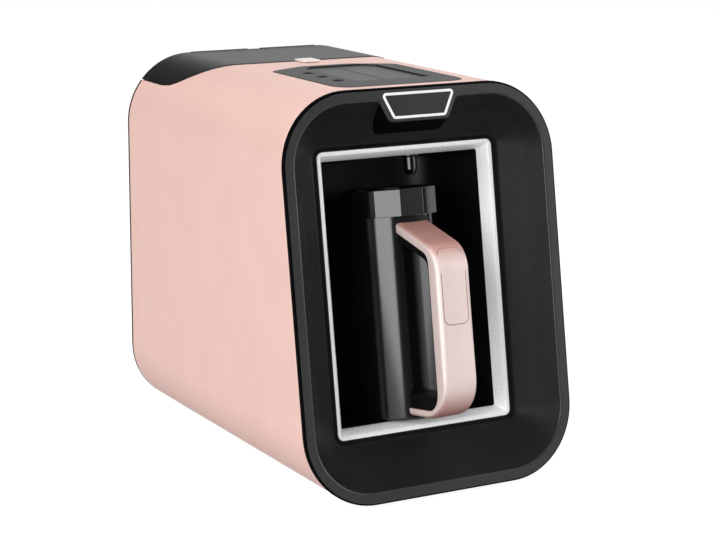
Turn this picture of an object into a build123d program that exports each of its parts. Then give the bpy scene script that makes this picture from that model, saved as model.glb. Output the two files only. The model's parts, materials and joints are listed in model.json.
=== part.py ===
from build123d import *
from math import cos, radians, sin, tan
import os

os.makedirs("parts", exist_ok=True)

# Electric Turkish coffee maker: a leaning front with a lit niche for the pot, keys on
# top, and a lift-out water tank with a hinged lid at the rear. Millimetres, +Z up,
# the front looks along -Y, the origin is on the floor at the middle of the footprint.

# --- housing --------------------------------------------------------------------------
body_width = 189.0
body_height = 245.0
body_depth = 266.5         # from the bottom of the leaning front to the back
corner_radius = 45.0
lean = 9.58                # degrees that the front leans back
front_y = -127.8           # bottom edge of the front, so that the footprint is centred
foot_height = 2.5
foot_radius = 9.0
foot_side = 12.0           # of a foot's middle from the side of the base window
foot_inset_y = 22.0
foot_plug_radius = 6.0
foot_taper = 8.0           # degrees
foot_button = 1.5          # height and overhang of the button that holds a foot
sleeve_wall = 1.2
rear_lip = 2.0             # thickness of the back cover outside the sleeve
rear_proud = 0.6
seat_gap = 0.2             # assembly clearance between fixed pieces
move_gap = 0.35            # running clearance between pieces that move apart
press_gap = 0.02           # radial clearance of a press fit
snug_gap = 0.05            # radial clearance of a snug fit
edge_break = 0.5           # chamfer on moulded and turned edges
small_round = 2.0          # corner radius of small moulded blocks and boards

# --- front bezel, chrome frame and niche ----------------------------------------------
bezel_proud = 0.5
bezel_lip = 3.2
bezel_edge = 1.2
bezel_wall = 2.2
bezel_skirt = 9.0
bezel_lap = 0.5
shadow_gap = 0.7
rim_width = 6.6
rim_corner = 38.5
dish_depth = 20.0
border_width = 4.0
border_corner = 8.0
groove_inset = 2.0
groove_width = 0.9
groove_depth = 0.8
chrome_width = 124.0
chrome_bottom = 38.0       # height of the chrome frame up the leaning front
chrome_top_gap = 35.0      # from the chrome frame to the top of the front
chrome_flange = 2.0
chrome_bevel = 4.0
chrome_depth = 8.7
chrome_corner = 4.0
niche_step = 0.3           # the liner stands back from the chrome's inner edge
niche_back = 94.0
niche_corner = 24.0
liner_wall = 2.0
liner_flange = 8.0
liner_boss_side = 4.4      # screw bosses beside the chrome frame
liner_boss_end = 15.7      # from its top and bottom
boss_radius = 3.2
boss_height = 10.0
screw_hole = 8.0
screw_radius = 1.5
screw_head_radius = 2.8
screw_head = 1.8
screw_cross = 0.7          # width of the cross in a screw head
screw_bite = 5.0           # length of a screw in its boss
badge_top_half = 28.5
badge_low_half = 19.5
badge_height = 19.5
badge_below_edge = 1.8
badge_corner = 4.0
badge_plate_depth = 3.0
badge_proud = 0.8
badge_trim_inset = 2.6
badge_trim_width = 1.1
badge_trim_height = 0.4

# --- pot ------------------------------------------------------------------------------
pot_depth = 47.0           # the pot's axis behind the leaning front
pot_radius = 29.3
pot_wall = 1.4
pot_floor_wall = 3.0
pot_headroom = 22.0        # from the pot's rim to the height of the niche
pot_lift = 0.4
collar_radius = 30.9       # across the corners
collar_sides = 12
collar_height = 17.0
collar_inset = 0.6         # the collar's mouth is this much narrower than the pot's
collar_rise = 1.0
pot_foot_round = 1.6
pot_inner_round = 3.0
handle_width = 23.4
handle_edge = 3.2
grip_outer = 72.8          # from the pot's axis to the front of the grip
grip_inner = 63.0
grip_core = 61.0
arm_slope = 20.4
arm_below_collar = 1.3
arm_thick = 7.0
arm_core_thick = 7.0
foot_arm_low = 3.3
foot_arm_thick = 5.2
foot_arm_core = 8.5
bend_top_outer = 18.7
bend_low_outer = 25.0
bend_inner = 8.0
bend_low_inner = 12.0
bend_core_top = 7.0
bend_core_low = 6.0
core_inset = 0.6           # the core stands back from the sides of the shell
arm_root = 6.0             # how far the arms are drawn into the pot before they are trimmed
saddle_wall = 1.2
saddle_half = 13.6
saddle_length = 14.0
saddle_corner = 3.0
saddle_drop = 1.5          # the lower saddle reaches this far below its arm
stud_radius = 1.6
stud_length = 4.0
stud_drop = 2.0
inset_half = 8.2
inset_below_arm = 18.3
inset_length = 45.5
inset_thick = 1.4
inset_corner = 4.0
inset_seam = 0.15

# --- heater ---------------------------------------------------------------------------
heater_depth = 54.0        # behind the leaning front, clear of the bezel
heater_radius = 20.5
heater_thick = 3.6
heater_rise = 0.2
gasket_width = 1.6
cup_wall = 1.0
cup_depth = 15.0
element_radius = 14.5
element_wire = 3.2
element_arc = 320.0        # degrees
heater_round = 0.6
sensor_radius = 4.0
sensor_tail = 3.0
sensor_flange = 2.0
sensor_flange_thick = 1.5
pad_margin = 2.0
fuse_radius = 2.2
fuse_length = 20.0
fuse_offset = 16.0
fuse_lead = 4.0
fuse_wire = 0.6

# --- water spout and overflow sensor --------------------------------------------------
nozzle_x = 15.0
nozzle_depth = 42.0
nozzle_radius = 4.2
nozzle_drop = 13.0
nozzle_bore = 1.6
nozzle_round = 1.0
nozzle_flange = 7.5
nozzle_flange_thick = 2.0
sensor_x = -20.0
window_radius = 6.0
window_drop = 0.8
window_round = 0.5
sensor_body = 12.0
sensor_overhang = 2.0      # of the sensor's body beyond its window

# --- top panel and keys ---------------------------------------------------------------
panel_half = 46.0
panel_front = 56.0
panel_shoulder = 147.5
panel_rear = 162.0
panel_nose = 17.0
panel_corner = 12.0
panel_shoulder_round = 8.0
panel_nose_round = 3.0
panel_screw_side = 5.0
panel_screw_front = 8.0
panel_screw_rear = 16.0
panel_thick = 3.8
panel_flange = 3.4
panel_gap = 0.35
panel_chamfer = 0.4
key_left_edge = -20.0
key_right_edge = 32.0
key_seam = 4.5
key_front = 80.0
key_rear = 156.0
key_chamfer = 7.5
key_drop = 1.1
key_thick = 1.7
key_travel = 0.8
key_stem_radius = 2.5
key_rest_gap = 0.1         # between a pressed key's stem and its switch at the full travel
carrier_thick = 2.0
carrier_inset = 1.0
lens_x = -29.5
lens_first = 88.0
lens_pitch = 19.75
lens_count = 3
lens_length = 10.6
lens_width = 3.0
lens_drop = 0.3
lens_guide_length = 3.1    # of the light guide under a lens
lens_guide_width = 2.1
led_length = 3.5
led_width = 2.8
led_height = 1.8
board_drop = 14.5
board_thick = 1.6
board_corner = 2.0
board_screw_inset = 4.0
board_side = 6.0
board_front = 68.0
board_rear = 146.0
switch_size = 6.2
switch_height = 3.4
switch_button = 1.6
switch_button_rise = 0.4

# --- water tank, its bay and lid ------------------------------------------------------
lid_front_lap = 4.0        # the lid starts this far in front of the tank
lid_slope_length = 32.0    # sloping part of the lid's edge
lid_edge_drop = 16.5       # of the level part below the top
lid_edge_radius = 50.0
lid_seam = 0.6
lid_proud = 1.0
lid_thick = 2.5
hinge_radius = 3.0
hinge_pin_radius = 1.2
hinge_pin_half = 24.0
hinge_clearance = 0.05
hinge_half = 48.0
hinge_ear_half = 4.4
hinge_ear_radius = 2.6
hinge_ear_neck = 4.4
hinge_relief = 0.6
tab_half = 9.5
tab_reach = 12.0
tab_thick = 1.3
tab_root = 9.0
tab_foot = 4.0
tab_corner = 2.0
lid_wall = 2.0
lid_wall_gap = 1.5
tank_half = 60.0
tank_front = 192.5
tank_rear_gap = 9.5        # from the tank to the back of the housing
tank_bottom = 60.0
tank_rim_drop = 8.1        # of the tank's rim below the top
tank_corner = 10.0
tank_wall = 2.0
bay_gap = 0.8
bay_wall = 2.0
bay_top_drop = 1.0         # of the bay's deck below the lid's edge
bay_floor = 2.5
outlet_radius = 9.0
valve_stem_radius = 2.0
valve_stem = 9.0
valve_bore = 2.5
valve_cage_radius = 8.5
valve_cage_height = 13.0
valve_cage_wall = 1.5
valve_head_radius = 5.5
valve_head = 2.0
valve_window = 7.0
valve_window_height = 8.0
spring_wire = 0.5
spring_turns = 4
spring_radius = 4.0
seat_post_radius = 2.0
seat_post_bore = 1.2
seat_drop = 3.0            # space under the tank's spigot
seat_wall = 2.0
spigot_length = 8.0
seal_width = 1.2

# --- pump and hoses -------------------------------------------------------------------
hose_radius = 3.6
hose_bore = 2.2
barb_length = 8.0
short_barb = 4.5
hose_gap = 0.3
pump_axis_z = 24.0
pump_head_radius = 13.0
pump_head_length = 20.0
pump_motor_radius = 11.5
pump_motor_length = 30.0
pump_round = 1.5
motor_tail_radius = 3.0
motor_tail = 2.0
cradle_width = 24.0
cradle_drop = 3.0          # the cradle's top lies this far below the pump's axis
feed_rise_gap = 16.5       # from the rising hose to the tank
feed_top_drop = 23.6       # of the hose's upper run, below the top of the housing
feed_bend = 22.0
feed_top_bend = 13.0

# --- base, back cover, bulkhead and boards --------------------------------------------
base_margin = 3.5          # the base window stays this far inside the flat underside
base_window_front = 24.0
base_window_rear_gap = 16.5
base_thick = 2.5
base_rest = 5.0
base_lap = 3.0
base_corner = 12.0
terminal_x = -20.0
terminal_gap = 27.0        # from the terminal block to the tank
terminal_width = 26.0
terminal_length = 14.0
terminal_height = 14.0
post_side = 8.0
post_size = 12.0
post_front_gap = 10.5
post_rear_gap = 14.0
cover_screw_low = 74.0
cover_screw_drop = 22.5
cover_skirt = 9.0
cover_wall = 2.0
cover_boss_length = 16.0
cover_boss_hole = 14.0
cover_screw_length = 11.0
gland_side = 32.5
gland_z = 22.0
gland_radius = 8.0
gland_neck = 5.5
gland_bore = 3.4
gland_length = 12.0
gland_face = 2.2           # thickness of the bush outside the cover
gland_round = 1.0
vent_count = 7
vent_length = 52.0
vent_width = 2.6
vent_pitch = 7.0
vent_z = 96.0
bulkhead_y = 141.0
bulkhead_thick = 2.5
bulkhead_foot = 12.0
bulkhead_side = 8.5
bulkhead_headroom = 57.0
power_board_half = 48.0
power_board_low = 42.0
power_board_high = 148.0
power_screw_inset = 5.0
power_screw_bite = 4.0
transformer_size = (30.0, 34.0, 18.0)
transformer_spot = (-22.0, 18.0)    # from the middle of the power board
relay_size = (20.0, 16.0, 15.0)
relay_spot = (-20.0, -24.0)
capacitor_radius = 6.5
capacitor_height = 17.0
capacitor_x = 36.0
capacitor_pitch = 20.0
capacitor_middle = 4.0
capacitor_round = 1.0
standoff = 5.0

# --- worked out from the sizes above --------------------------------------------------
lean_cos = cos(radians(lean))
lean_sin = sin(radians(lean))
front_length = body_height / lean_cos
rear_y = front_y + body_depth
chrome_height = front_length - chrome_bottom - chrome_top_gap
chrome_middle = chrome_bottom + chrome_height / 2
niche_half = chrome_width / 2 - chrome_flange - chrome_bevel + niche_step
niche_height = chrome_height - 2 * (chrome_flange + chrome_bevel - niche_step)
niche_floor = chrome_middle - niche_height / 2
liner_front = dish_depth + chrome_depth
pot_bottom = heater_rise + pot_lift
pot_height = niche_height - pot_headroom
collar_seat = pot_bottom + pot_height + collar_rise - collar_height
arm_top = collar_seat - arm_below_collar
inset_top = arm_top - inset_below_arm
inset_low = inset_top - inset_length
cup_radius = heater_radius + gasket_width + seat_gap / 2 + cup_wall
tank_rear = body_depth - tank_rear_gap
tank_rim = body_height - tank_rim_drop
lid_front = tank_front - lid_front_lap
lid_corner = lid_front + lid_slope_length
lid_edge = body_height - lid_edge_drop
lid_wall_start = tank_half + lid_wall_gap
bay_top = lid_edge - bay_top_drop
hinge_y = body_depth + rear_proud - hinge_radius
hinge_z = body_height + lid_proud - hinge_radius
tank_middle = (tank_front + tank_rear) / 2
outlet_x = nozzle_x
outlet_y = tank_middle
feed_rise_y = tank_front - feed_rise_gap
base_top = sleeve_wall + base_thick
base_window_half = body_width / 2 - corner_radius - base_margin
base_window_rear = body_depth - base_window_rear_gap
foot_x = base_window_half - foot_side
post_x = base_window_half - post_side
post_rows = (tank_front + post_front_gap, tank_rear - post_rear_gap)
terminal_y = tank_front - terminal_gap
cover_screw_rows = (cover_screw_low, lid_edge - cover_screw_drop)
gland_x = body_width / 2 - gland_side
bulkhead_half = body_width / 2 - bulkhead_side
bulkhead_top = body_height - bulkhead_headroom
board_half_x = panel_half - board_side
panel_screw_x = panel_half - panel_screw_side
base_middle = (base_window_front + base_window_rear) / 2
base_length = base_window_rear - base_window_front
overshoot = 30.0

front_plane = Plane(
    origin=(0, front_y, foot_height), x_dir=(1, 0, 0), z_dir=(0, -lean_cos, lean_sin)
)
inward = (0, lean_cos, -lean_sin)
upward = (0, lean_sin, lean_cos)
niche_plane = Plane(
    origin=front_plane.from_local_coords((0, niche_floor, 0)), x_dir=(1, 0, 0), z_dir=upward
)
ceiling_plane = niche_plane.offset(niche_height)
pot_plane = Plane(
    origin=niche_plane.from_local_coords((0, pot_depth, 0)), x_dir=(1, 0, 0), z_dir=upward
)
heater_plane = Plane(
    origin=niche_plane.from_local_coords((0, heater_depth, 0)), x_dir=(1, 0, 0), z_dir=upward
)
handle_plane = Plane(origin=pot_plane.origin, x_dir=inward, z_dir=(1, 0, 0))
floor_plane = Plane(origin=(0, front_y, foot_height), x_dir=(1, 0, 0), z_dir=(0, 0, 1))
top_plane = floor_plane.offset(body_height)
side_plane = Plane(origin=(0, front_y, foot_height), x_dir=(0, 1, 0), z_dir=(1, 0, 0))
rear_plane = Plane(origin=(0, rear_y, foot_height), x_dir=(1, 0, 0), z_dir=(0, -1, 0))


def at_height(height):
    """Level plane at a height above the underside of the housing."""
    return floor_plane.offset(height)


def body_outline(inset, mode=Mode.ADD):
    """Rounded outline of the housing, seen from the front, made smaller by inset."""
    with Locations((0, body_height / 2)):
        RectangleRounded(
            body_width - 2 * inset,
            body_height - 2 * inset,
            corner_radius - inset,
            mode=mode,
        )


def body_slab(inset, start, stop):
    """Slice of the housing between two depths behind the leaning front."""
    with BuildPart() as slab:
        with BuildSketch(rear_plane):
            body_outline(inset)
        extrude(amount=body_depth + overshoot)
        split(bisect_by=front_plane.offset(-start), keep=Keep.BOTTOM)
        split(bisect_by=front_plane.offset(-stop), keep=Keep.TOP)
    return slab.part


def rim_outline(grow=0.0):
    """Inner edge of the bezel's flat rim."""
    with Locations((0, front_length / 2)):
        RectangleRounded(
            body_width - 2 * rim_width + 2 * grow,
            front_length - 2 * rim_width + 2 * grow,
            rim_corner + grow,
        )


def chrome_outline(grow, corner, mode=Mode.ADD):
    """Outline of the chrome frame, grown by a width on every side."""
    with Locations((0, chrome_middle)):
        RectangleRounded(
            chrome_width + 2 * grow, chrome_height + 2 * grow, corner, mode=mode
        )


def chrome_hole(shrink):
    """Square-cornered hole of the chrome frame."""
    with Locations((0, chrome_middle)):
        Rectangle(chrome_width - 2 * shrink, chrome_height - 2 * shrink)


def lid_region(seam):
    """Side view of what the lid covers, above its sloping and level edge."""
    with BuildLine() as region:
        edge = FilletPolyline(
            (lid_front + seam, body_height + seam),
            (lid_corner + seam, lid_edge + seam),
            (body_depth + overshoot, lid_edge + seam),
            radius=lid_edge_radius,
        )
        Polyline(
            edge @ 1,
            (body_depth + overshoot, body_height + overshoot),
            (lid_front + seam, body_height + overshoot),
            edge @ 0,
        )
    make_face(region.edges())


def panel_outline(gap):
    """Plan of the top panel: rounded front corners and a narrower back."""
    side = panel_half - gap
    front = panel_front + gap
    rear = panel_rear - gap
    with BuildLine() as outline:
        FilletPolyline(
            (-side, front),
            (side, front),
            (side, panel_shoulder),
            (panel_nose, rear),
            (-panel_nose, rear),
            (-side, panel_shoulder),
            radius=[
                panel_corner,
                panel_corner,
                panel_shoulder_round,
                panel_nose_round,
                panel_nose_round,
                panel_shoulder_round,
            ],
            close=True,
        )
    make_face(outline.edges())


def rounded_box(plane, width, length, height, corner):
    """Plain block with rounded upright edges on a plane."""
    with BuildPart() as block:
        with BuildSketch(plane):
            RectangleRounded(width, length, corner)
        extrude(amount=height)
    return block.part


def screws(planes, shank, radius=screw_radius):
    """Pan-head screws: each plane is the seat of a head, looking out of it."""
    with BuildPart() as group:
        for plane in planes:
            with BuildSketch(plane):
                Circle(screw_head_radius)
            extrude(amount=screw_head)
            with BuildSketch(plane):
                Circle(radius)
            extrude(amount=-shank)
            with BuildSketch(plane.offset(screw_head)):
                Rectangle(screw_cross, screw_head_radius)
                Rectangle(screw_head_radius, screw_cross)
            extrude(amount=-screw_head / 2, mode=Mode.SUBTRACT)
    return group.part


def save(shape, name):
    """Label a finished piece and write it to its own file."""
    shape.label = name
    export_step(shape, f"parts/{name}.step")


# --- housing sleeve -------------------------------------------------------------------
with BuildPart() as body_sleeve:
    with BuildSketch(rear_plane.offset(rear_lip)):
        body_outline(0)
        body_outline(sleeve_wall, Mode.SUBTRACT)
    extrude(amount=body_depth + overshoot)
    split(bisect_by=front_plane.offset(-bezel_lip - shadow_gap), keep=Keep.BOTTOM)
    with BuildSketch(top_plane.offset(-sleeve_wall * 2)):
        panel_outline(0)
    extrude(amount=overshoot, mode=Mode.SUBTRACT)
    with BuildSketch(floor_plane):
        with Locations((0, base_middle)):
            RectangleRounded(2 * base_window_half, base_length, base_corner)
    extrude(amount=2 * sleeve_wall, both=True, mode=Mode.SUBTRACT)
    with BuildSketch(side_plane):
        lid_region(0)
    extrude(amount=body_width, both=True, mode=Mode.SUBTRACT)
save(body_sleeve.part, "body_sleeve")

# --- front bezel ----------------------------------------------------------------------
bezel_face = body_slab(-bezel_proud, 0, bezel_lip)
skirt_inset = sleeve_wall + seat_gap
bezel_ring = body_slab(skirt_inset, bezel_lip - bezel_lap, bezel_skirt)
bezel_hollow = body_slab(skirt_inset + bezel_wall, bezel_lip, bezel_skirt + overshoot)
liner_spots = [
    (side * (chrome_width / 2 + liner_boss_side), chrome_middle + y)
    for side in (-1, 1)
    for y in (liner_boss_end - chrome_height / 2, chrome_height / 2 - liner_boss_end)
]
with BuildPart() as front_bezel:
    add(bezel_face)
    rim_edges = front_bezel.faces().sort_by(Axis(front_plane.origin, front_plane.z_dir))[-1]
    fillet(rim_edges.outer_wire().edges(), radius=bezel_edge)
    add(bezel_ring)
    add(bezel_hollow, mode=Mode.SUBTRACT)
    with BuildSketch(front_plane.offset(-bezel_lip)):
        rim_outline(bezel_wall)
    with BuildSketch(front_plane.offset(-dish_depth - bezel_wall)):
        chrome_outline(border_width + bezel_wall, border_corner + bezel_wall)
    loft()
    with BuildSketch(front_plane.offset(-dish_depth - bezel_wall)):
        with Locations(*liner_spots):
            Circle(boss_radius)
    extrude(amount=-(chrome_depth - bezel_wall))
    with BuildSketch(front_plane.offset(-dish_depth)):
        chrome_outline(border_width, border_corner)
    with BuildSketch(front_plane):
        rim_outline()
    loft(mode=Mode.SUBTRACT)
    with BuildSketch(front_plane.offset(-dish_depth)):
        chrome_outline(seat_gap / 2, chrome_corner)
    extrude(amount=-overshoot, mode=Mode.SUBTRACT)
    with BuildSketch(front_plane.offset(-dish_depth)):
        chrome_outline(groove_inset + groove_width, chrome_corner + groove_inset + groove_width)
        chrome_outline(groove_inset, chrome_corner + groove_inset, mode=Mode.SUBTRACT)
    extrude(amount=-groove_depth, mode=Mode.SUBTRACT)
    with BuildSketch(front_plane.offset(-liner_front)):
        with Locations(*liner_spots):
            Circle(screw_radius)
    extrude(amount=chrome_depth - bezel_wall, mode=Mode.SUBTRACT)
save(front_bezel.part, "front_bezel")

# --- bare badge plate and its bright outline ------------------------------------------
badge_head = front_length - badge_below_edge


def badge_outline(inset, mode=Mode.ADD):
    """Trapezoid that hangs from the top of the rim, narrower at its foot."""
    slant = (badge_top_half - badge_low_half) / badge_height
    top = badge_head - inset
    low = badge_head - badge_height + inset
    top_half = badge_top_half - inset * (1 + slant)
    low_half = badge_low_half - inset * (1 - slant)
    with BuildLine() as outline:
        FilletPolyline(
            (-top_half, top),
            (-low_half, low),
            (low_half, low),
            (top_half, top),
            radius=[badge_corner / 2, badge_corner, badge_corner, badge_corner / 2],
            close=True,
        )
    make_face(outline.edges(), mode=mode)


with BuildPart() as badge_plate:
    with BuildSketch(front_plane.offset(badge_proud)):
        badge_outline(0)
    extrude(amount=-badge_proud - badge_plate_depth)
    add(front_bezel.part, mode=Mode.SUBTRACT)
save(badge_plate.part, "badge_plate")

with BuildPart() as badge_trim:
    with BuildSketch(front_plane.offset(badge_proud)):
        badge_outline(badge_trim_inset)
        badge_outline(badge_trim_inset + badge_trim_width, mode=Mode.SUBTRACT)
    extrude(amount=badge_trim_height)
save(badge_trim.part, "badge_trim")

# --- chrome frame ---------------------------------------------------------------------
with BuildPart() as chrome_frame:
    with BuildSketch(front_plane.offset(-dish_depth)):
        chrome_outline(0, chrome_corner)
    extrude(amount=-chrome_depth)
    with BuildSketch(front_plane.offset(-dish_depth)):
        chrome_hole(chrome_flange)
    with BuildSketch(front_plane.offset(-liner_front)):
        chrome_hole(chrome_flange + chrome_bevel)
    loft(mode=Mode.SUBTRACT)
save(chrome_frame.part, "chrome_frame")

# --- niche liner: floor, ceiling, sides and rounded back in one moulding --------------


def niche_plan(wall, front):
    """Plan of the niche from its open front to its rounded back."""
    back = niche_back + wall
    half = niche_half + wall
    with BuildLine() as outline:
        FilletPolyline(
            (-half, front), (-half, back), (half, back), (half, front), radius=niche_corner + wall
        )
        Line((half, front), (-half, front))
    make_face(outline.edges())


with BuildPart() as cavity_liner:
    with BuildSketch(niche_plane.offset(-liner_wall)):
        niche_plan(liner_wall, liner_front)
    extrude(amount=niche_height + 2 * liner_wall)
    with BuildSketch(front_plane.offset(-liner_front)):
        chrome_outline(liner_flange, border_corner)
    extrude(amount=-liner_wall)
    with BuildSketch(niche_plane):
        niche_plan(0, liner_front - liner_flange)
    extrude(amount=niche_height, mode=Mode.SUBTRACT)
    with BuildSketch(heater_plane):
        Circle(heater_radius + gasket_width + seat_gap / 2)
    extrude(amount=-liner_wall, mode=Mode.SUBTRACT)
    with BuildSketch(ceiling_plane):
        with Locations((nozzle_x, nozzle_depth)):
            Circle(nozzle_radius + seat_gap / 2)
        with Locations((sensor_x, nozzle_depth)):
            Circle(window_radius + seat_gap / 2)
    extrude(amount=liner_wall, mode=Mode.SUBTRACT)
    with BuildSketch(front_plane.offset(-liner_front)):
        with Locations(*liner_spots):
            Circle(screw_radius + seat_gap)
    extrude(amount=-liner_wall, mode=Mode.SUBTRACT)
save(cavity_liner.part, "cavity_liner")

liner_screw_seats = [
    Plane(
        origin=front_plane.from_local_coords((x, y, -liner_front - liner_wall)),
        x_dir=(1, 0, 0),
        z_dir=inward,
    )
    for x, y in liner_spots
]
save(screws(liner_screw_seats, liner_wall + screw_bite), "liner_screws")

# --- heater under the niche floor -----------------------------------------------------
with BuildPart() as heater_plate:
    with BuildSketch(heater_plane.offset(heater_rise)):
        Circle(heater_radius)
    extrude(amount=-heater_thick)
    heater_face = heater_plate.faces().sort_by(Axis(heater_plane.origin, upward))[-1]
    fillet(heater_face.edges(), heater_round)
save(heater_plate.part, "heater_plate")

with BuildPart() as heater_gasket:
    with BuildSketch(heater_plane):
        Circle(heater_radius + gasket_width)
        Circle(heater_radius + press_gap, mode=Mode.SUBTRACT)
    extrude(amount=heater_rise - heater_thick)
save(heater_gasket.part, "heater_gasket")

element_top = heater_rise - heater_thick
element_section = Plane(origin=heater_plane.origin, x_dir=inward, z_dir=(1, 0, 0))
with BuildPart() as heating_element:
    with BuildSketch(element_section):
        with Locations((element_radius, element_top - element_wire)):
            Circle(element_wire)
    revolve(axis=Axis(heater_plane.origin, heater_plane.z_dir), revolution_arc=element_arc)
save(heating_element.part, "heating_element")

pad_top = element_top - 2 * element_wire
cup_floor = -liner_wall - cup_depth
with BuildPart() as insulation_pad:
    with BuildSketch(heater_plane.offset(cup_floor + cup_wall)):
        Circle(element_radius + element_wire + pad_margin)
        Circle(sensor_radius + seat_gap, mode=Mode.SUBTRACT)
    extrude(amount=pad_top - cup_floor - cup_wall)
save(insulation_pad.part, "insulation_pad")

with BuildPart() as heater_cup:
    with BuildSketch(heater_plane.offset(-liner_wall)):
        Circle(cup_radius)
    extrude(amount=-cup_depth)
    with BuildSketch(heater_plane.offset(-liner_wall)):
        Circle(cup_radius - cup_wall)
    extrude(amount=-cup_depth + cup_wall, mode=Mode.SUBTRACT)
    with BuildSketch(heater_plane.offset(cup_floor)):
        Circle(sensor_radius + snug_gap)
    extrude(amount=cup_wall, mode=Mode.SUBTRACT)
save(heater_cup.part, "heater_cup")

with BuildPart() as temperature_sensor:
    with BuildSketch(heater_plane.offset(element_top)):
        Circle(sensor_radius)
    extrude(amount=cup_floor - element_top - sensor_tail)
    with BuildSketch(heater_plane.offset(cup_floor)):
        Circle(sensor_radius + sensor_flange)
    extrude(amount=-sensor_flange_thick)
save(temperature_sensor.part, "temperature_sensor")

fuse_plane = Plane(
    origin=heater_plane.from_local_coords(
        (-fuse_length / 2, fuse_offset, cup_floor - fuse_radius)
    ),
    x_dir=inward,
    z_dir=(1, 0, 0),
)
with BuildPart() as thermal_fuse:
    with BuildSketch(fuse_plane):
        Circle(fuse_radius)
    extrude(amount=fuse_length)
    with BuildSketch(fuse_plane.offset(-fuse_lead)):
        Circle(fuse_wire)
    extrude(amount=fuse_length + 2 * fuse_lead)
save(thermal_fuse.part, "thermal_fuse")

# --- spout and overflow sensor in the ceiling -----------------------------------------
nozzle_plane = Plane(
    origin=ceiling_plane.from_local_coords((nozzle_x, nozzle_depth, 0)),
    x_dir=(1, 0, 0),
    z_dir=upward,
)
nozzle_shoulder = liner_wall + nozzle_flange_thick
with BuildPart() as water_nozzle:
    with BuildSketch(nozzle_plane.offset(-nozzle_drop)):
        Circle(nozzle_radius)
    extrude(amount=nozzle_drop + liner_wall)
    nozzle_tip = water_nozzle.faces().sort_by(Axis(nozzle_plane.origin, upward))[0]
    fillet(nozzle_tip.edges(), nozzle_round)
    with BuildSketch(nozzle_plane.offset(liner_wall)):
        Circle(nozzle_flange)
    extrude(amount=nozzle_flange_thick)
    with BuildSketch(nozzle_plane.offset(nozzle_shoulder)):
        Circle(hose_bore)
    extrude(amount=barb_length)
    with BuildSketch(nozzle_plane.offset(-nozzle_drop)):
        Circle(nozzle_bore)
    extrude(amount=nozzle_drop + nozzle_shoulder + barb_length, mode=Mode.SUBTRACT)
save(water_nozzle.part, "water_nozzle")

sensor_plane = Plane(
    origin=ceiling_plane.from_local_coords((sensor_x, nozzle_depth, 0)),
    x_dir=(1, 0, 0),
    z_dir=upward,
)
with BuildPart() as sensor_window:
    with BuildSketch(sensor_plane.offset(-window_drop)):
        Circle(window_radius)
    extrude(amount=window_drop + liner_wall)
    window_face = sensor_window.faces().sort_by(Axis(sensor_plane.origin, upward))[0]
    fillet(window_face.edges(), window_round)
save(sensor_window.part, "sensor_window")

sensor_size = 2 * (window_radius + sensor_overhang)
overflow_sensor = rounded_box(
    sensor_plane.offset(liner_wall), sensor_size, sensor_size, sensor_body, small_round
)
save(overflow_sensor, "overflow_sensor")

# --- pot ------------------------------------------------------------------------------
pot_base = pot_plane.offset(pot_bottom)
with BuildPart() as pot_hollow:
    with BuildSketch(pot_base.offset(pot_floor_wall)):
        Circle(pot_radius - pot_wall)
    extrude(amount=pot_height)
    hollow_floor = pot_hollow.faces().sort_by(Axis(pot_base.origin, upward))[0]
    fillet(hollow_floor.edges(), pot_inner_round)
with BuildPart() as pot_body:
    with BuildSketch(pot_base):
        Circle(pot_radius)
    extrude(amount=pot_height)
    pot_underside = pot_body.faces().sort_by(Axis(pot_base.origin, upward))[0]
    fillet(pot_underside.edges(), pot_foot_round)
    add(pot_hollow.part, mode=Mode.SUBTRACT)
save(pot_body.part, "pot_body")

collar_base = pot_plane.offset(collar_seat)
with BuildPart() as pot_collar:
    with BuildSketch(collar_base):
        RegularPolygon(collar_radius, collar_sides, rotation=180 / collar_sides)
    extrude(amount=collar_height)
    collar_face = pot_collar.faces().sort_by(Axis(pot_base.origin, upward))[-1]
    chamfer(collar_face.edges(), edge_break)
    with BuildSketch(collar_base):
        Circle(pot_radius + press_gap)
    extrude(amount=collar_height - collar_rise, mode=Mode.SUBTRACT)
    with BuildSketch(collar_base):
        Circle(pot_radius - pot_wall - collar_inset)
    extrude(amount=collar_height, mode=Mode.SUBTRACT)
save(pot_collar.part, "pot_collar")

# the handle's side profile is drawn with x inward from the pot's axis and y up from the niche floor
slope = tan(radians(arm_slope))
wall_x = arm_root - pot_radius


def handle_run(reach, top, low):
    """Upper arm, grip and lower arm: top and low are the heights where the arms meet the pot."""
    return [(wall_x, top), (-reach, top - slope * (reach + wall_x)), (-reach, low), (wall_x, low)]


def handle_band(outer, outer_bends, inner, inner_bends):
    """Closed band between two rounded runs that leave and meet the pot."""
    with BuildLine() as band:
        over = FilletPolyline(*outer, radius=outer_bends)
        under = FilletPolyline(*inner, radius=inner_bends)
        Line(over @ 0, under @ 0)
        Line(over @ 1, under @ 1)
    make_face(band.edges())


outer_run = handle_run(grip_outer, arm_top, foot_arm_low)
outer_bends = [bend_top_outer, bend_low_outer]
inner_run = handle_run(grip_inner, arm_top - arm_thick, foot_arm_low + foot_arm_thick)
inner_bends = [bend_inner, bend_low_inner]
core_run = [
    (wall_x, arm_top - arm_thick - arm_core_thick),
    (-grip_core, inner_run[1][1] - (grip_inner - grip_core)),
    (-grip_core, foot_arm_low + foot_arm_thick + foot_arm_core),
    (wall_x, foot_arm_low + foot_arm_thick + foot_arm_core),
]
core_bends = [bend_core_top, bend_core_low]
inset_run = handle_run(grip_outer - inset_thick, arm_top - inset_thick, foot_arm_low + inset_thick)
inset_bends = [bend_top_outer - inset_thick, bend_low_outer - inset_thick]
outer_path = FilletPolyline(*outer_run, radius=outer_bends)
front_view = Plane(
    origin=pot_plane.from_local_coords((0, -grip_outer, 0)),
    x_dir=(1, 0, 0),
    z_dir=(0, -lean_cos, lean_sin),
)


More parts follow.
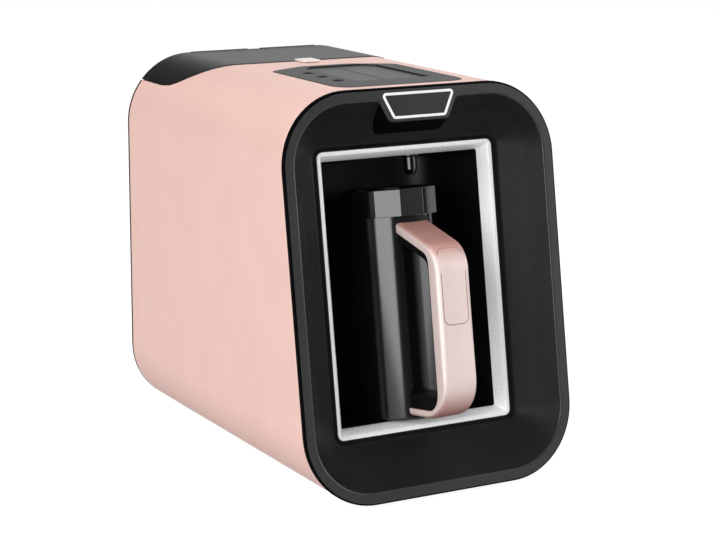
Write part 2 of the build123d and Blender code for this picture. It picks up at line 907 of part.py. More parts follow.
def on_outer_path(edge):
    """True for an edge that follows the outside of the handle."""
    middle = handle_plane.to_local_coords(edge @ 0.5)
    return outer_path.distance_to(Vector(middle.X, middle.Y, 0)) < press_gap


def pot_core(radius):
    """Upright cylinder about the pot's axis, taller than the handle."""
    with BuildPart() as core:
        with BuildSketch(pot_plane.offset(-overshoot)):
            Circle(radius)
        extrude(amount=pot_height + 2 * overshoot)
    return core.part


def thumb_inset(seam):
    """Thin insert let into the front of the grip."""
    with BuildPart() as inset:
        with BuildSketch(handle_plane):
            handle_band(outer_run, outer_bends, inset_run, inset_bends)
        extrude(amount=inset_half + seam, both=True)
        with BuildSketch(front_view):
            with Locations((0, (inset_low + inset_top) / 2)):
                RectangleRounded(
                    2 * (inset_half + seam), inset_top - inset_low + 2 * seam, inset_corner + seam
                )
        extrude(amount=grip_inner - grip_outer, both=True, mode=Mode.INTERSECT)
    return inset.part


def saddle(height, length):
    """Curved pad that spreads an arm of the handle on the pot wall."""
    with BuildPart() as pad:
        with BuildSketch(pot_plane.offset(height)):
            Circle(pot_radius + saddle_wall)
        extrude(amount=length)
        with BuildSketch(front_view):
            with Locations((0, height + length / 2)):
                RectangleRounded(2 * saddle_half, length, saddle_corner)
        extrude(amount=-grip_outer, mode=Mode.INTERSECT)
    return pad.part


inside_pot = pot_core(pot_radius + snug_gap)
inside_saddle = pot_core(pot_radius + saddle_wall + snug_gap)
handle_inset = thumb_inset(0)
inset_pocket = thumb_inset(inset_seam)
upper_saddle = saddle(collar_seat - seat_gap - saddle_length, saddle_length)
lower_saddle = saddle(foot_arm_low - saddle_drop, saddle_length)
stud_heights = (
    arm_top - arm_thick - arm_core_thick / 2 - stud_drop,
    foot_arm_low + foot_arm_thick + foot_arm_core / 2,
)

with BuildPart() as handle_shell:
    with BuildSketch(handle_plane):
        handle_band(outer_run, outer_bends, inner_run, inner_bends)
    extrude(amount=handle_width / 2, both=True)
    fillet([edge for edge in handle_shell.edges() if on_outer_path(edge)], handle_edge)
    add(inside_saddle, mode=Mode.SUBTRACT)
    add(inset_pocket, mode=Mode.SUBTRACT)
save(handle_shell.part, "handle_shell")
save(handle_inset, "handle_inset")

with BuildPart() as handle_core:
    with BuildSketch(handle_plane):
        handle_band(inner_run, inner_bends, core_run, core_bends)
    extrude(amount=handle_width / 2 - core_inset, both=True)
    add([upper_saddle, lower_saddle])
    add(handle_shell.part, mode=Mode.SUBTRACT)
    add(inside_pot, mode=Mode.SUBTRACT)
    for height in stud_heights:
        with BuildSketch(front_view):
            with Locations((0, height)):
                Circle(stud_radius + press_gap)
        extrude(amount=-grip_outer, mode=Mode.SUBTRACT)
save(handle_core.part, "handle_core")

with BuildPart() as handle_studs:
    for height in stud_heights:
        with BuildSketch(front_view):
            with Locations((0, height)):
                Circle(stud_radius)
        extrude(amount=-grip_outer)
    add(inside_pot, mode=Mode.SUBTRACT)
    with BuildSketch(pot_plane):
        Circle(pot_radius + stud_length)
    extrude(amount=pot_height, mode=Mode.INTERSECT)
save(handle_studs.part, "handle_studs")

# --- base plate, feet and screws ------------------------------------------------------
foot_spots = [
    (x, y)
    for x in (-foot_x, foot_x)
    for y in (base_window_front + foot_inset_y, base_window_rear - foot_inset_y)
]
bulkhead_screw_spots = [(x, bulkhead_y - bulkhead_foot / 2) for x in (-post_x, post_x)]
post_spots = [(x, y) for x in (-post_x, post_x) for y in post_rows]
base_screw_spots = bulkhead_screw_spots + post_spots
with BuildPart() as base_plate:
    with BuildSketch(floor_plane):
        with Locations((0, base_middle)):
            RectangleRounded(
                2 * (base_window_half - seat_gap),
                base_length - 2 * seat_gap,
                base_corner - seat_gap,
            )
    extrude(amount=sleeve_wall)
    with BuildSketch(at_height(sleeve_wall)):
        with Locations((0, base_middle)):
            RectangleRounded(
                2 * (base_window_half + base_lap), base_length + 2 * base_rest, base_corner
            )
    extrude(amount=base_thick)
    with BuildSketch(floor_plane):
        with Locations(*foot_spots):
            Circle(foot_plug_radius)
        with Locations(*base_screw_spots):
            Circle(screw_radius + seat_gap)
    extrude(amount=base_top, mode=Mode.SUBTRACT)
    with BuildSketch(floor_plane):
        with Locations(*base_screw_spots):
            Circle(screw_head_radius + seat_gap)
    extrude(amount=screw_head, mode=Mode.SUBTRACT)
save(base_plate.part, "base_plate")

with BuildPart() as rubber_feet:
    with BuildSketch(floor_plane):
        with Locations(*foot_spots):
            Circle(foot_radius)
    extrude(amount=-foot_height, taper=foot_taper)
    with BuildSketch(floor_plane):
        with Locations(*foot_spots):
            Circle(foot_plug_radius - snug_gap)
    extrude(amount=base_top)
    with BuildSketch(at_height(base_top)):
        with Locations(*foot_spots):
            Circle(foot_plug_radius + foot_button)
    extrude(amount=foot_button)
save(rubber_feet.part, "rubber_feet")

# --- back cover with vents, cord bush and screws --------------------------------------
cover_screw_x = tank_half + bay_gap + bay_wall + boss_radius
cover_screw_spots = [(x, z) for x in (-cover_screw_x, cover_screw_x) for z in cover_screw_rows]
vent_heights = [vent_z + vent_pitch * (i - (vent_count - 1) / 2) for i in range(vent_count)]
cover_rear = rear_plane.offset(-rear_proud)
cover_thick = rear_proud + rear_lip - seat_gap
with BuildPart() as rear_cover:
    with BuildSketch(cover_rear):
        body_outline(0)
    extrude(amount=cover_thick)
    chamfer(rear_cover.faces().sort_by(Axis.Y)[-1].edges(), edge_break)
    with BuildSketch(rear_plane.offset(rear_lip - seat_gap)):
        body_outline(sleeve_wall + seat_gap)
        body_outline(sleeve_wall + seat_gap + cover_wall, Mode.SUBTRACT)
    extrude(amount=cover_skirt)
    with BuildSketch(side_plane):
        with Locations((body_depth, lid_edge - seat_gap + overshoot)):
            Rectangle(2 * overshoot, 2 * overshoot)
    extrude(amount=body_width, both=True, mode=Mode.SUBTRACT)
    with BuildSketch(cover_rear):
        with Locations(*[(0, z) for z in vent_heights]):
            SlotOverall(vent_length, vent_width)
        with Locations((gland_x, gland_z)):
            Circle(gland_neck + seat_gap / 2)
        with Locations(*cover_screw_spots):
            Circle(screw_radius + seat_gap)
    extrude(amount=overshoot, mode=Mode.SUBTRACT)
save(rear_cover.part, "rear_cover")


def facing_rear(spots, depth):
    """Planes that look out of the back at a depth inside the back face."""
    return [
        Plane(
            origin=rear_plane.from_local_coords((x, z, depth)), x_dir=(1, 0, 0), z_dir=(0, 1, 0)
        )
        for x, z in spots
    ]


cover_screw_seats = facing_rear(cover_screw_spots, -rear_proud)
save(screws(cover_screw_seats, cover_screw_length), "rear_cover_screws")

gland_plane = facing_rear([(gland_x, gland_z)], -rear_proud)[0]
with BuildPart() as cord_gland:
    with BuildSketch(gland_plane):
        Circle(gland_radius)
    extrude(amount=gland_face)
    fillet(cord_gland.faces().sort_by(Axis.Y)[-1].edges(), gland_round)
    with BuildSketch(gland_plane):
        Circle(gland_neck)
    extrude(amount=-cover_thick)
    with BuildSketch(gland_plane.offset(-cover_thick)):
        Circle(gland_radius - gland_round)
    extrude(amount=gland_face + cover_thick - gland_length)
    with BuildSketch(gland_plane.offset(gland_face)):
        Circle(gland_bore)
    extrude(amount=-gland_length, mode=Mode.SUBTRACT)
save(cord_gland.part, "cord_gland")

base_screw_seats = [
    Plane(origin=at_height(screw_head).from_local_coords((x, y, 0)), z_dir=(0, 0, -1))
    for x, y in base_screw_spots
]
save(screws(base_screw_seats, base_top - screw_head + screw_bite), "base_screws")

terminal_block = rounded_box(
    Plane(origin=at_height(base_top).from_local_coords((terminal_x, terminal_y, 0))),
    terminal_width,
    terminal_length,
    terminal_height,
    small_round,
)
save(terminal_block, "terminal_block")

# --- bulkhead with the power board ----------------------------------------------------
bulkhead_face = Plane(
    origin=(0, front_y + bulkhead_y, foot_height), x_dir=(1, 0, 0), z_dir=(0, -1, 0)
)
standoff_spots = [
    (x, z)
    for x in (power_screw_inset - power_board_half, power_board_half - power_screw_inset)
    for z in (power_board_low + power_screw_inset, power_board_high - power_screw_inset)
]
with BuildPart() as bulkhead:
    with BuildSketch(bulkhead_face):
        body_outline(sleeve_wall + seat_gap)
        with Locations((0, (base_top + bulkhead_top) / 2)):
            Rectangle(2 * bulkhead_half, bulkhead_top - base_top, mode=Mode.INTERSECT)
    extrude(amount=-bulkhead_thick)
    with BuildSketch(at_height(base_top)):
        with Locations((0, bulkhead_y - bulkhead_foot / 2)):
            Rectangle(2 * base_window_half, bulkhead_foot)
    extrude(amount=bulkhead_thick)
    with BuildSketch(at_height(base_top)):
        with Locations(*bulkhead_screw_spots):
            Circle(boss_radius)
    extrude(amount=boss_height)
    with BuildSketch(bulkhead_face.offset(-bulkhead_thick)):
        with Locations(*standoff_spots):
            Circle(boss_radius)
    extrude(amount=-standoff)
    with BuildSketch(bulkhead_face.offset(-bulkhead_thick - standoff)):
        with Locations(*standoff_spots):
            Circle(screw_radius)
    extrude(amount=standoff, mode=Mode.SUBTRACT)
    with BuildSketch(at_height(base_top)):
        with Locations(*bulkhead_screw_spots):
            Circle(screw_radius)
    extrude(amount=screw_hole, mode=Mode.SUBTRACT)
save(bulkhead.part, "bulkhead")

power_face = bulkhead_face.offset(-bulkhead_thick - standoff)
power_middle = (power_board_low + power_board_high) / 2
with BuildPart() as power_board:
    with BuildSketch(power_face):
        with Locations((0, power_middle)):
            RectangleRounded(
                2 * power_board_half, power_board_high - power_board_low, board_corner
            )
        with Locations(*standoff_spots):
            Circle(screw_radius + seat_gap, mode=Mode.SUBTRACT)
    extrude(amount=-board_thick)
save(power_board.part, "power_board")

part_face = power_face.offset(-board_thick)
power_screw_seats = [
    Plane(origin=part_face.from_local_coords((x, z, 0)), x_dir=(1, 0, 0), z_dir=(0, 1, 0))
    for x, z in standoff_spots
]
save(screws(power_screw_seats, board_thick + power_screw_bite), "power_board_screws")


def on_power_board(spot, size):
    """Block that stands on the power board, placed from the board's middle."""
    width, height, thick = size
    with BuildPart() as block:
        with BuildSketch(part_face):
            with Locations((spot[0], power_middle + spot[1])):
                RectangleRounded(width, height, small_round)
        extrude(amount=-thick)
    return block.part


save(on_power_board(transformer_spot, transformer_size), "transformer")
save(on_power_board(relay_spot, relay_size), "relay")

capacitor_spots = [
    (capacitor_x, power_middle + capacitor_middle + capacitor_pitch * i) for i in (-1, 0, 1)
]
with BuildPart() as capacitors:
    with BuildSketch(part_face):
        with Locations(*capacitor_spots):
            Circle(capacitor_radius)
    extrude(amount=-capacitor_height)
    fillet(capacitors.faces().sort_by(Axis.Y)[-3:].edges(), capacitor_round)
save(capacitors.part, "capacitors")

# --- top panel, keys and the control board under them ---------------------------------


def key_window(left, right, gap):
    """Plan of the key recess between two sides; the recess's own back corners are cut off."""
    front = key_front + gap
    rear = key_rear - gap
    low_x = left + gap
    high_x = right - gap
    high_corner = [(high_x, rear)]
    low_corner = [(low_x, rear)]
    if right == key_right_edge:
        high_corner = [(high_x, rear - key_chamfer), (high_x - key_chamfer, rear)]
    if left == key_left_edge:
        low_corner = [(low_x + key_chamfer, rear), (low_x, rear - key_chamfer)]
    points = [(low_x, front), (high_x, front)] + high_corner + low_corner
    with BuildLine() as outline:
        Polyline(*points, close=True)
    make_face(outline.edges())


def top_face(depth):
    """Level plane at a depth below the top of the housing."""
    return top_plane.offset(-depth)


key_spans = {
    "key_left": (key_left_edge, key_seam),
    "key_right": (key_seam, key_right_edge),
}
key_middle = (key_front + key_rear) / 2
switch_top = board_drop - switch_height
key_low = key_drop + key_thick
key_stem_length = switch_top - switch_button_rise - key_travel - key_rest_gap - key_low
stem_spots = [((left + right) / 2, key_middle) for left, right in key_spans.values()]
lens_spots = [(lens_x, lens_first + lens_pitch * i) for i in range(lens_count)]
board_spots = [
    (x, y)
    for x in (board_screw_inset - board_half_x, board_half_x - board_screw_inset)
    for y in (board_front + board_screw_inset, board_rear - board_screw_inset)
]
with BuildPart() as control_panel:
    with BuildSketch(top_face(panel_thick)):
        panel_outline(panel_gap)
    extrude(amount=panel_thick)
    chamfer(control_panel.faces().sort_by(Axis.Z)[-1].edges(), panel_chamfer)
    with BuildSketch(top_face(panel_thick)):
        panel_outline(-panel_flange)
    extrude(amount=panel_thick - sleeve_wall)
    with BuildSketch(top_face(panel_thick)):
        key_window(key_left_edge, key_right_edge, 0)
        with Locations(*lens_spots):
            Rectangle(lens_length + 2 * snug_gap, lens_width + 2 * snug_gap)
    extrude(amount=overshoot, mode=Mode.SUBTRACT)
save(control_panel.part, "control_panel")

carrier_low = panel_thick + carrier_thick
panel_screw_spots = [
    (x, y)
    for x in (-panel_screw_x, panel_screw_x)
    for y in (panel_front + panel_screw_front, panel_shoulder - panel_screw_rear)
]
with BuildPart() as key_carrier:
    with BuildSketch(top_face(carrier_low)):
        panel_outline(carrier_inset - panel_flange)
    extrude(amount=carrier_thick)
    with BuildSketch(top_face(board_drop)):
        with Locations(*board_spots):
            Circle(boss_radius)
    extrude(amount=board_drop - carrier_low)
    with BuildSketch(top_face(board_drop)):
        with Locations(*board_spots):
            Circle(screw_radius)
    extrude(amount=board_drop - carrier_low, mode=Mode.SUBTRACT)
    with BuildSketch(top_face(carrier_low)):
        with Locations(*stem_spots):
            Circle(key_stem_radius + move_gap)
        with Locations(*lens_spots):
            Rectangle(lens_guide_length + seat_gap, lens_guide_width + seat_gap)
        with Locations(*panel_screw_spots):
            Circle(screw_radius + seat_gap)
    extrude(amount=carrier_thick, mode=Mode.SUBTRACT)
save(key_carrier.part, "key_carrier")

panel_screw_seats = [
    Plane(origin=top_face(carrier_low).from_local_coords((x, y, 0)), z_dir=(0, 0, -1))
    for x, y in panel_screw_spots
]
save(screws(panel_screw_seats, carrier_thick), "panel_screws")

for name, (left, right) in key_spans.items():
    with BuildPart() as key:
        with BuildSketch(top_face(key_low)):
            key_window(left, right, move_gap)
        extrude(amount=key_thick)
        chamfer(key.faces().sort_by(Axis.Z)[-1].edges(), panel_chamfer)
        with BuildSketch(top_face(key_low)):
            with Locations(((left + right) / 2, key_middle)):
                Circle(key_stem_radius)
        extrude(amount=-key_stem_length)
    save(key.part, name)

guide_low = board_drop - led_height - seat_gap / 2
with BuildPart() as indicator_lenses:
    with BuildSketch(top_face(panel_thick)):
        with Locations(*lens_spots):
            Rectangle(lens_length, lens_width)
    extrude(amount=panel_thick - lens_drop)
    with BuildSketch(top_face(guide_low)):
        with Locations(*lens_spots):
            Rectangle(lens_guide_length, lens_guide_width)
    extrude(amount=guide_low - panel_thick)
save(indicator_lenses.part, "indicator_lenses")

with BuildPart() as control_board:
    with BuildSketch(top_face(board_drop + board_thick)):
        with Locations((0, (board_front + board_rear) / 2)):
            RectangleRounded(2 * board_half_x, board_rear - board_front, board_corner)
        with Locations(*board_spots):
            Circle(screw_radius + seat_gap, mode=Mode.SUBTRACT)
    extrude(amount=board_thick)
save(control_board.part, "control_board")

board_screw_seats = [
    Plane(
        origin=top_face(board_drop + board_thick).from_local_coords((x, y, 0)), z_dir=(0, 0, -1)
    )
    for x, y in board_spots
]
save(screws(board_screw_seats, board_thick + screw_bite), "board_screws")

with BuildPart() as tact_switches:
    with BuildSketch(top_face(board_drop)):
        with Locations(*stem_spots):
            Rectangle(switch_size, switch_size)
    extrude(amount=switch_height)
    with BuildSketch(top_face(switch_top)):
        with Locations(*stem_spots):
            Circle(switch_button)
    extrude(amount=switch_button_rise)
save(tact_switches.part, "tact_switches")

with BuildPart() as indicator_leds:
    with BuildSketch(top_face(board_drop)):
        with Locations(*lens_spots):
            Rectangle(led_length, led_width)
    extrude(amount=led_height)
save(indicator_leds.part, "indicator_leds")

# --- tank bay: well, deck, seat cup, posts and screw bosses in one moulding -----------
valve_seat = tank_bottom + tank_wall + move_gap
bay_rest = tank_bottom - move_gap
cup_outer = outlet_radius + move_gap + seal_width + seat_wall
cup_low = tank_bottom - spigot_length - seat_drop - seat_wall
tank_length = tank_rear - tank_front


def tank_plan(grow):
    """Plan of the tank, grown by a width."""
    with Locations((0, tank_middle)):
        RectangleRounded(2 * (tank_half + grow), tank_length + 2 * grow, tank_corner + grow)


def outlet_circle(radius):
    """Circle about the tank's outlet."""
    with Locations((outlet_x, outlet_y)):
        Circle(radius)


deck_depth = body_depth - rear_lip - (tank_front - bay_gap - bay_wall)
with BuildPart() as tank_bay:
    with BuildSketch(at_height(bay_rest - bay_floor)):
        tank_plan(bay_gap + bay_wall)
    extrude(amount=bay_top - bay_rest + bay_floor)
    with BuildSketch(rear_plane.offset(rear_lip)):
        body_outline(sleeve_wall + cover_wall + 2 * seat_gap)
        with Locations((0, bay_top - bay_floor / 2)):
            Rectangle(body_width, bay_floor, mode=Mode.INTERSECT)
    extrude(amount=deck_depth)
    with BuildSketch(rear_plane.offset(rear_lip - seat_gap)):
        with Locations(*cover_screw_spots):
            Circle(boss_radius + seat_wall / 2)
    extrude(amount=cover_boss_length)
    with BuildSketch(at_height(base_top)):
        with Locations(*post_spots):
            RectangleRounded(post_size, post_size, small_round)
    extrude(amount=bay_rest - bay_floor - base_top)
    with BuildSketch(at_height(cup_low)):
        outlet_circle(cup_outer)
    extrude(amount=bay_rest - cup_low)
    with BuildSketch(at_height(bay_rest)):
        tank_plan(bay_gap)
    extrude(amount=body_height, mode=Mode.SUBTRACT)
    with BuildSketch(at_height(cup_low + seat_wall)):
        outlet_circle(cup_outer - seat_wall)
    extrude(amount=body_height, mode=Mode.SUBTRACT)
    with BuildSketch(at_height(cup_low - short_barb)):
        outlet_circle(hose_bore)
    extrude(amount=short_barb)
    with BuildSketch(at_height(cup_low)):
        outlet_circle(seat_post_radius)
    extrude(amount=valve_seat - valve_stem - move_gap - cup_low)
    with BuildSketch(at_height(cup_low - short_barb)):
        outlet_circle(seat_post_bore)
    extrude(amount=body_height, mode=Mode.SUBTRACT)
    with BuildSketch(at_height(base_top)):
        with Locations(*post_spots):
            Circle(screw_radius)
    extrude(amount=screw_hole, mode=Mode.SUBTRACT)
    with BuildSketch(rear_plane):
        with Locations(*cover_screw_spots):
            Circle(screw_radius)
    extrude(amount=cover_boss_hole, mode=Mode.SUBTRACT)
save(tank_bay.part, "tank_bay")

with BuildPart() as inlet_seal:
    with BuildSketch(at_height(cup_low + seat_wall)):
        outlet_circle(outlet_radius + move_gap + seal_width)
    extrude(amount=spigot_length)
    with BuildSketch(at_height(cup_low + seat_wall)):
        outlet_circle(outlet_radius + move_gap)
    extrude(amount=spigot_length, mode=Mode.SUBTRACT)
save(inlet_seal.part, "inlet_seal")

# --- water tank with its valve --------------------------------------------------------
with BuildPart() as water_tank:
    with BuildSketch(at_height(tank_bottom)):
        tank_plan(0)
    extrude(amount=tank_rim - tank_bottom)
    with BuildSketch(at_height(lid_edge + lid_seam)):
        with Locations((0, (tank_middle + body_depth) / 2)):
            Rectangle(2 * tank_half - 2 * tank_corner, body_depth - tank_middle)
        with Locations((0, body_depth - 4)):
            Rectangle(2 * tank_half, 8)
        with Locations((0, tank_rear - 1)):
            Rectangle(2 * tank_half, 8)
    extrude(amount=tank_rim - lid_edge - lid_seam)
    with BuildSketch(at_height(tank_bottom)):
        outlet_circle(outlet_radius)
    extrude(amount=-spigot_length)
    with BuildSketch(at_height(tank_bottom + tank_wall)):
        tank_plan(-tank_wall)
    extrude(amount=body_height, mode=Mode.SUBTRACT)
    with BuildSketch(at_height(tank_bottom + tank_wall)):
        outlet_circle(valve_bore)
    extrude(amount=-spigot_length - tank_wall, mode=Mode.SUBTRACT)
    with BuildSketch(side_plane):
        with Locations((hinge_y, hinge_z)):
            Circle(hinge_ear_radius)
        with Locations((hinge_y, (tank_rim - 1 + hinge_z) / 2)):
            Rectangle(hinge_ear_neck, hinge_z - tank_rim + 1)
    extrude(amount=hinge_ear_half, both=True)
    with BuildSketch(side_plane):
        with Locations((hinge_y, hinge_z)):
            Circle(hinge_pin_radius + hinge_clearance)
    extrude(amount=hinge_ear_half, both=True, mode=Mode.SUBTRACT)
save(water_tank.part, "water_tank")

with BuildPart() as valve_plunger:
    with BuildSketch(at_height(valve_seat)):
        outlet_circle(valve_head_radius)
    extrude(amount=valve_head)
    with BuildSketch(at_height(valve_seat)):
        outlet_circle(valve_stem_radius)
    extrude(amount=-valve_stem)
save(valve_plunger.part, "valve_plunger")

with BuildPart() as valve_cage:
    with BuildSketch(at_height(tank_bottom + tank_wall)):
        outlet_circle(valve_cage_radius)
    extrude(amount=valve_cage_height)
    with BuildSketch(at_height(tank_bottom + tank_wall)):
        outlet_circle(valve_cage_radius - valve_cage_wall)
    extrude(amount=valve_cage_height - valve_cage_wall, mode=Mode.SUBTRACT)
    with BuildSketch(at_height(tank_bottom + 2 * tank_wall)):
        with Locations((outlet_x, outlet_y)):
            Rectangle(2 * valve_cage_radius, valve_window)
            Rectangle(valve_window, 2 * valve_cage_radius)
    extrude(amount=valve_window_height, mode=Mode.SUBTRACT)
save(valve_cage.part, "valve_cage")

spring_low = valve_seat + valve_head
spring_high = tank_bottom + tank_wall + valve_cage_height - valve_cage_wall
spring_height = spring_high - spring_low - 2 * spring_wire
spring_start = at_height(spring_low + spring_wire).from_local_coords((outlet_x, outlet_y, 0))
spring_path = Helix(
    pitch=spring_height / spring_turns,
    height=spring_height,
    radius=spring_radius,
    center=spring_start,
)
with BuildPart() as valve_spring:
    with BuildSketch(Plane(origin=spring_path @ 0, z_dir=spring_path % 0)):
        Circle(spring_wire)
    sweep(path=spring_path, is_frenet=True)
save(valve_spring.part, "valve_spring")

# --- tank lid, its hinge pin and finger tab -------------------------------------------
lid_under = lid_thick - lid_proud
with BuildPart() as tank_lid:
    with BuildSketch(cover_rear):
        body_outline(-lid_proud)
        body_outline(lid_under, Mode.SUBTRACT)
    extrude(amount=body_depth - lid_front + overshoot)
    fillet(
        tank_lid.faces().sort_by(Axis.Y)[-1].outer_wire().edges(), radius=hinge_radius - lid_proud
    )
    with BuildSketch(cover_rear):
        body_outline(lid_under)
        Rectangle(2 * lid_wall_start, 3 * body_height, mode=Mode.SUBTRACT)
    extrude(amount=lid_wall)
    with BuildSketch(side_plane):
        lid_region(lid_seam)
    extrude(amount=body_width, both=True, mode=Mode.INTERSECT)
    with BuildSketch(side_plane):
        with Locations((hinge_y, hinge_z)):
            Circle(hinge_radius)
    extrude(amount=hinge_half, both=True)
    with BuildSketch(side_plane):
        with Locations((hinge_y + overshoot / 2 - hinge_radius - hinge_relief, hinge_z)):
            Rectangle(overshoot, 3 * hinge_radius)
    extrude(amount=hinge_ear_half + move_gap, both=True, mode=Mode.SUBTRACT)
    with BuildSketch(side_plane):
        with Locations((hinge_y, hinge_z)):
            Circle(hinge_pin_radius + press_gap)
    extrude(amount=hinge_pin_half, both=True, mode=Mode.SUBTRACT)
    with BuildSketch(top_face(overshoot)):
        with Locations((0, lid_front + lid_seam)):
            Rectangle(2 * (tab_half + snug_gap), 2 * (tab_root + snug_gap))
    extrude(amount=2 * overshoot, mode=Mode.SUBTRACT)
save(tank_lid.part, "tank_lid")

with BuildPart() as lid_hinge_pin:
    with BuildSketch(side_plane):
        with Locations((hinge_y, hinge_z)):
            Circle(hinge_pin_radius)
    extrude(amount=hinge_pin_half, both=True)
save(lid_hinge_pin.part, "lid_hinge_pin")

tab_rear = lid_front + lid_seam + tab_root
with BuildPart() as lid_tab:
    with BuildSketch(top_face(-move_gap)):
        with Locations((0, tab_rear - (tab_root + tab_reach) / 2)):
            RectangleRounded(2 * tab_half, tab_root + tab_reach, tab_corner)
    extrude(amount=tab_thick)
    with BuildSketch(top_face(lid_under)):
        with Locations((0, tab_rear - tab_foot / 2)):
            Rectangle(2 * tab_half, tab_foot)
    extrude(amount=lid_under + move_gap)
save(lid_tab.part, "lid_tab")

# --- pump, cradle and hoses -----------------------------------------------------------
pump_axis = Plane(
    origin=floor_plane.from_local_coords((outlet_x, outlet_y, pump_axis_z)),
    x_dir=(0, 1, 0),
    z_dir=(1, 0, 0),
)
head_half = pump_head_length / 2
with BuildPart() as pump_head:
    with BuildSketch(pump_axis.offset(-head_half)):
        Circle(pump_head_radius)
    extrude(amount=pump_head_length)
    fillet(pump_head.faces().sort_by(Axis.X)[-1].edges(), pump_round)
    with BuildSketch(at_height(pump_axis_z)):
        outlet_circle(hose_bore)
    extrude(amount=pump_head_radius + short_barb)
    with BuildSketch(Plane(origin=pump_axis.origin, x_dir=(1, 0, 0), z_dir=(0, -1, 0))):
        Circle(hose_bore)
    extrude(amount=pump_head_radius + barb_length)
save(pump_head.part, "pump_head")

with BuildPart() as pump_motor:
    with BuildSketch(pump_axis.offset(-head_half)):
        Circle(pump_motor_radius)
    extrude(amount=-pump_motor_length)
    fillet(pump_motor.faces().sort_by(Axis.X)[0].edges(), pump_round)
    with BuildSketch(pump_axis.offset(-head_half - pump_motor_length)):
        Circle(motor_tail_radius)
    extrude(amount=-motor_tail)
save(pump_motor.part, "pump_motor")

cradle_x = outlet_x - head_half - pump_motor_length / 2
with BuildPart() as pump_cradle:
    with BuildSketch(at_height(base_top)):
        with Locations((cradle_x, outlet_y)):
            RectangleRounded(cradle_width, pump_motor_radius * 2, 2)
    extrude(amount=pump_axis_z - base_top - cradle_drop)
    with BuildSketch(pump_axis):
        Circle(pump_motor_radius + press_gap)
    extrude(amount=-body_width, mode=Mode.SUBTRACT)
save(pump_cradle.part, "pump_cradle")

with BuildPart() as suction_hose:
    with BuildSketch(at_height(pump_axis_z + pump_head_radius + hose_gap)):
        with Locations((outlet_x, outlet_y)):
            Circle(hose_radius)
            Circle(hose_bore + press_gap, mode=Mode.SUBTRACT)
    extrude(amount=cup_low - pump_axis_z - pump_head_radius - 2 * hose_gap)
save(suction_hose.part, "suction_hose")

feed_start = floor_plane.from_local_coords(
    (outlet_x, outlet_y - pump_head_radius - hose_gap, pump_axis_z)
)
feed_low = floor_plane.from_local_coords((outlet_x, feed_rise_y, pump_axis_z))
feed_high = floor_plane.from_local_coords((outlet_x, feed_rise_y, body_height - feed_top_drop))
feed_end = nozzle_plane.from_local_coords((0, 0, nozzle_shoulder + seat_gap))
feed_climb = (feed_high.Z - feed_end.Z) / lean_cos
feed_over = nozzle_plane.from_local_coords((0, 0, nozzle_shoulder + seat_gap + feed_climb))
feed_path = FilletPolyline(
    feed_start,
    feed_low,
    feed_high,
    feed_over,
    feed_end,
    radius=[feed_bend, feed_bend, feed_top_bend],
)
with BuildPart() as feed_hose:
    with BuildSketch(Plane(origin=feed_start, z_dir=(0, -1, 0))):
        Circle(hose_radius)
        Circle(hose_bore + press_gap, mode=Mode.SUBTRACT)
    sweep(path=feed_path)
save(feed_hose.part, "feed_hose")
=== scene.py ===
import bmesh
import bpy
import json
import math
from mathutils import Matrix, Vector


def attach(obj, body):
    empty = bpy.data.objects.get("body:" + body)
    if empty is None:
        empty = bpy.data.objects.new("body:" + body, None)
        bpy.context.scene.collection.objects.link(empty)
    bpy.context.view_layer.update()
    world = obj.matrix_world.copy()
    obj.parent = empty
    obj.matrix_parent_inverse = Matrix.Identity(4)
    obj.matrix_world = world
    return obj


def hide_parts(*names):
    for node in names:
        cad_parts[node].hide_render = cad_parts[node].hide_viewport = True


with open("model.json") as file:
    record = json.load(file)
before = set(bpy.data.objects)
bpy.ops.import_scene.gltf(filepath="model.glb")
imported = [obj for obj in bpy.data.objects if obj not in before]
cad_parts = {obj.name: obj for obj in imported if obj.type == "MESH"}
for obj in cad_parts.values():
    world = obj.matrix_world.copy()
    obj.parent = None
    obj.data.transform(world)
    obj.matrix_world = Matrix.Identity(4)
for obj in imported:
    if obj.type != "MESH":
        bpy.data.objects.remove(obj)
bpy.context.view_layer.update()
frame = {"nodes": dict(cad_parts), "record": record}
print("frame loaded:", len(frame["nodes"]), "nodes")

mm = 0.001               # the sizes below are millimetres
hair = 1e-4              # two places closer than this are the same
housing = {
    "width": 189.0,
    "height": 245.0,
    "corner": 45.0,
    "lean": 9.58,        # degrees
    "frontY": -127.8,    # bottom edge of the front
    "footHeight": 2.5,
}
leanCos = math.cos(math.radians(housing["lean"]))
leanSin = math.sin(math.radians(housing["lean"]))
frontLength = housing["height"] / leanCos


# places on the leaning front and in the housing


def frontPoint(u, v, d):   # across, up the leaning front, inward
    y = housing["frontY"] + v * leanSin + d * leanCos
    z = housing["footHeight"] + v * leanCos - d * leanSin
    return Vector((u, y, z)) * mm


def bodyPoint(x, y, z):    # y from the bottom edge of the front, z from the underside
    return Vector((x, housing["frontY"] + y, housing["footHeight"] + z)) * mm


# outlines


def roundedPath(corners, steps=6, closed=False):
    # corners are (x, y) or (x, y, radius); an arc is laid in each corner that has a radius
    points = []
    count = len(corners)
    for i, corner in enumerate(corners):
        here = Vector(corner[:2])
        radius = corner[2] if len(corner) > 2 else 0.0
        isEnd = not closed and i in (0, count - 1)
        if radius <= 0 or isEnd:
            points.append(here.copy())
            continue
        back = (Vector(corners[i - 1][:2]) - here).normalized()
        ahead = (Vector(corners[(i + 1) % count][:2]) - here).normalized()
        half = back.angle(ahead) / 2
        centre = here + (back + ahead).normalized() * (radius / math.sin(half))
        start = here + back * (radius / math.tan(half)) - centre
        turn = math.pi - 2 * half
        if back.x * ahead.y - back.y * ahead.x > 0:
            turn = -turn
        for k in range(steps + 1):
            a = turn * k / steps
            spin = Vector((
                start.x * math.cos(a) - start.y * math.sin(a),
                start.x * math.sin(a) + start.y * math.cos(a),
            ))
            points.append(centre + spin)
    return points


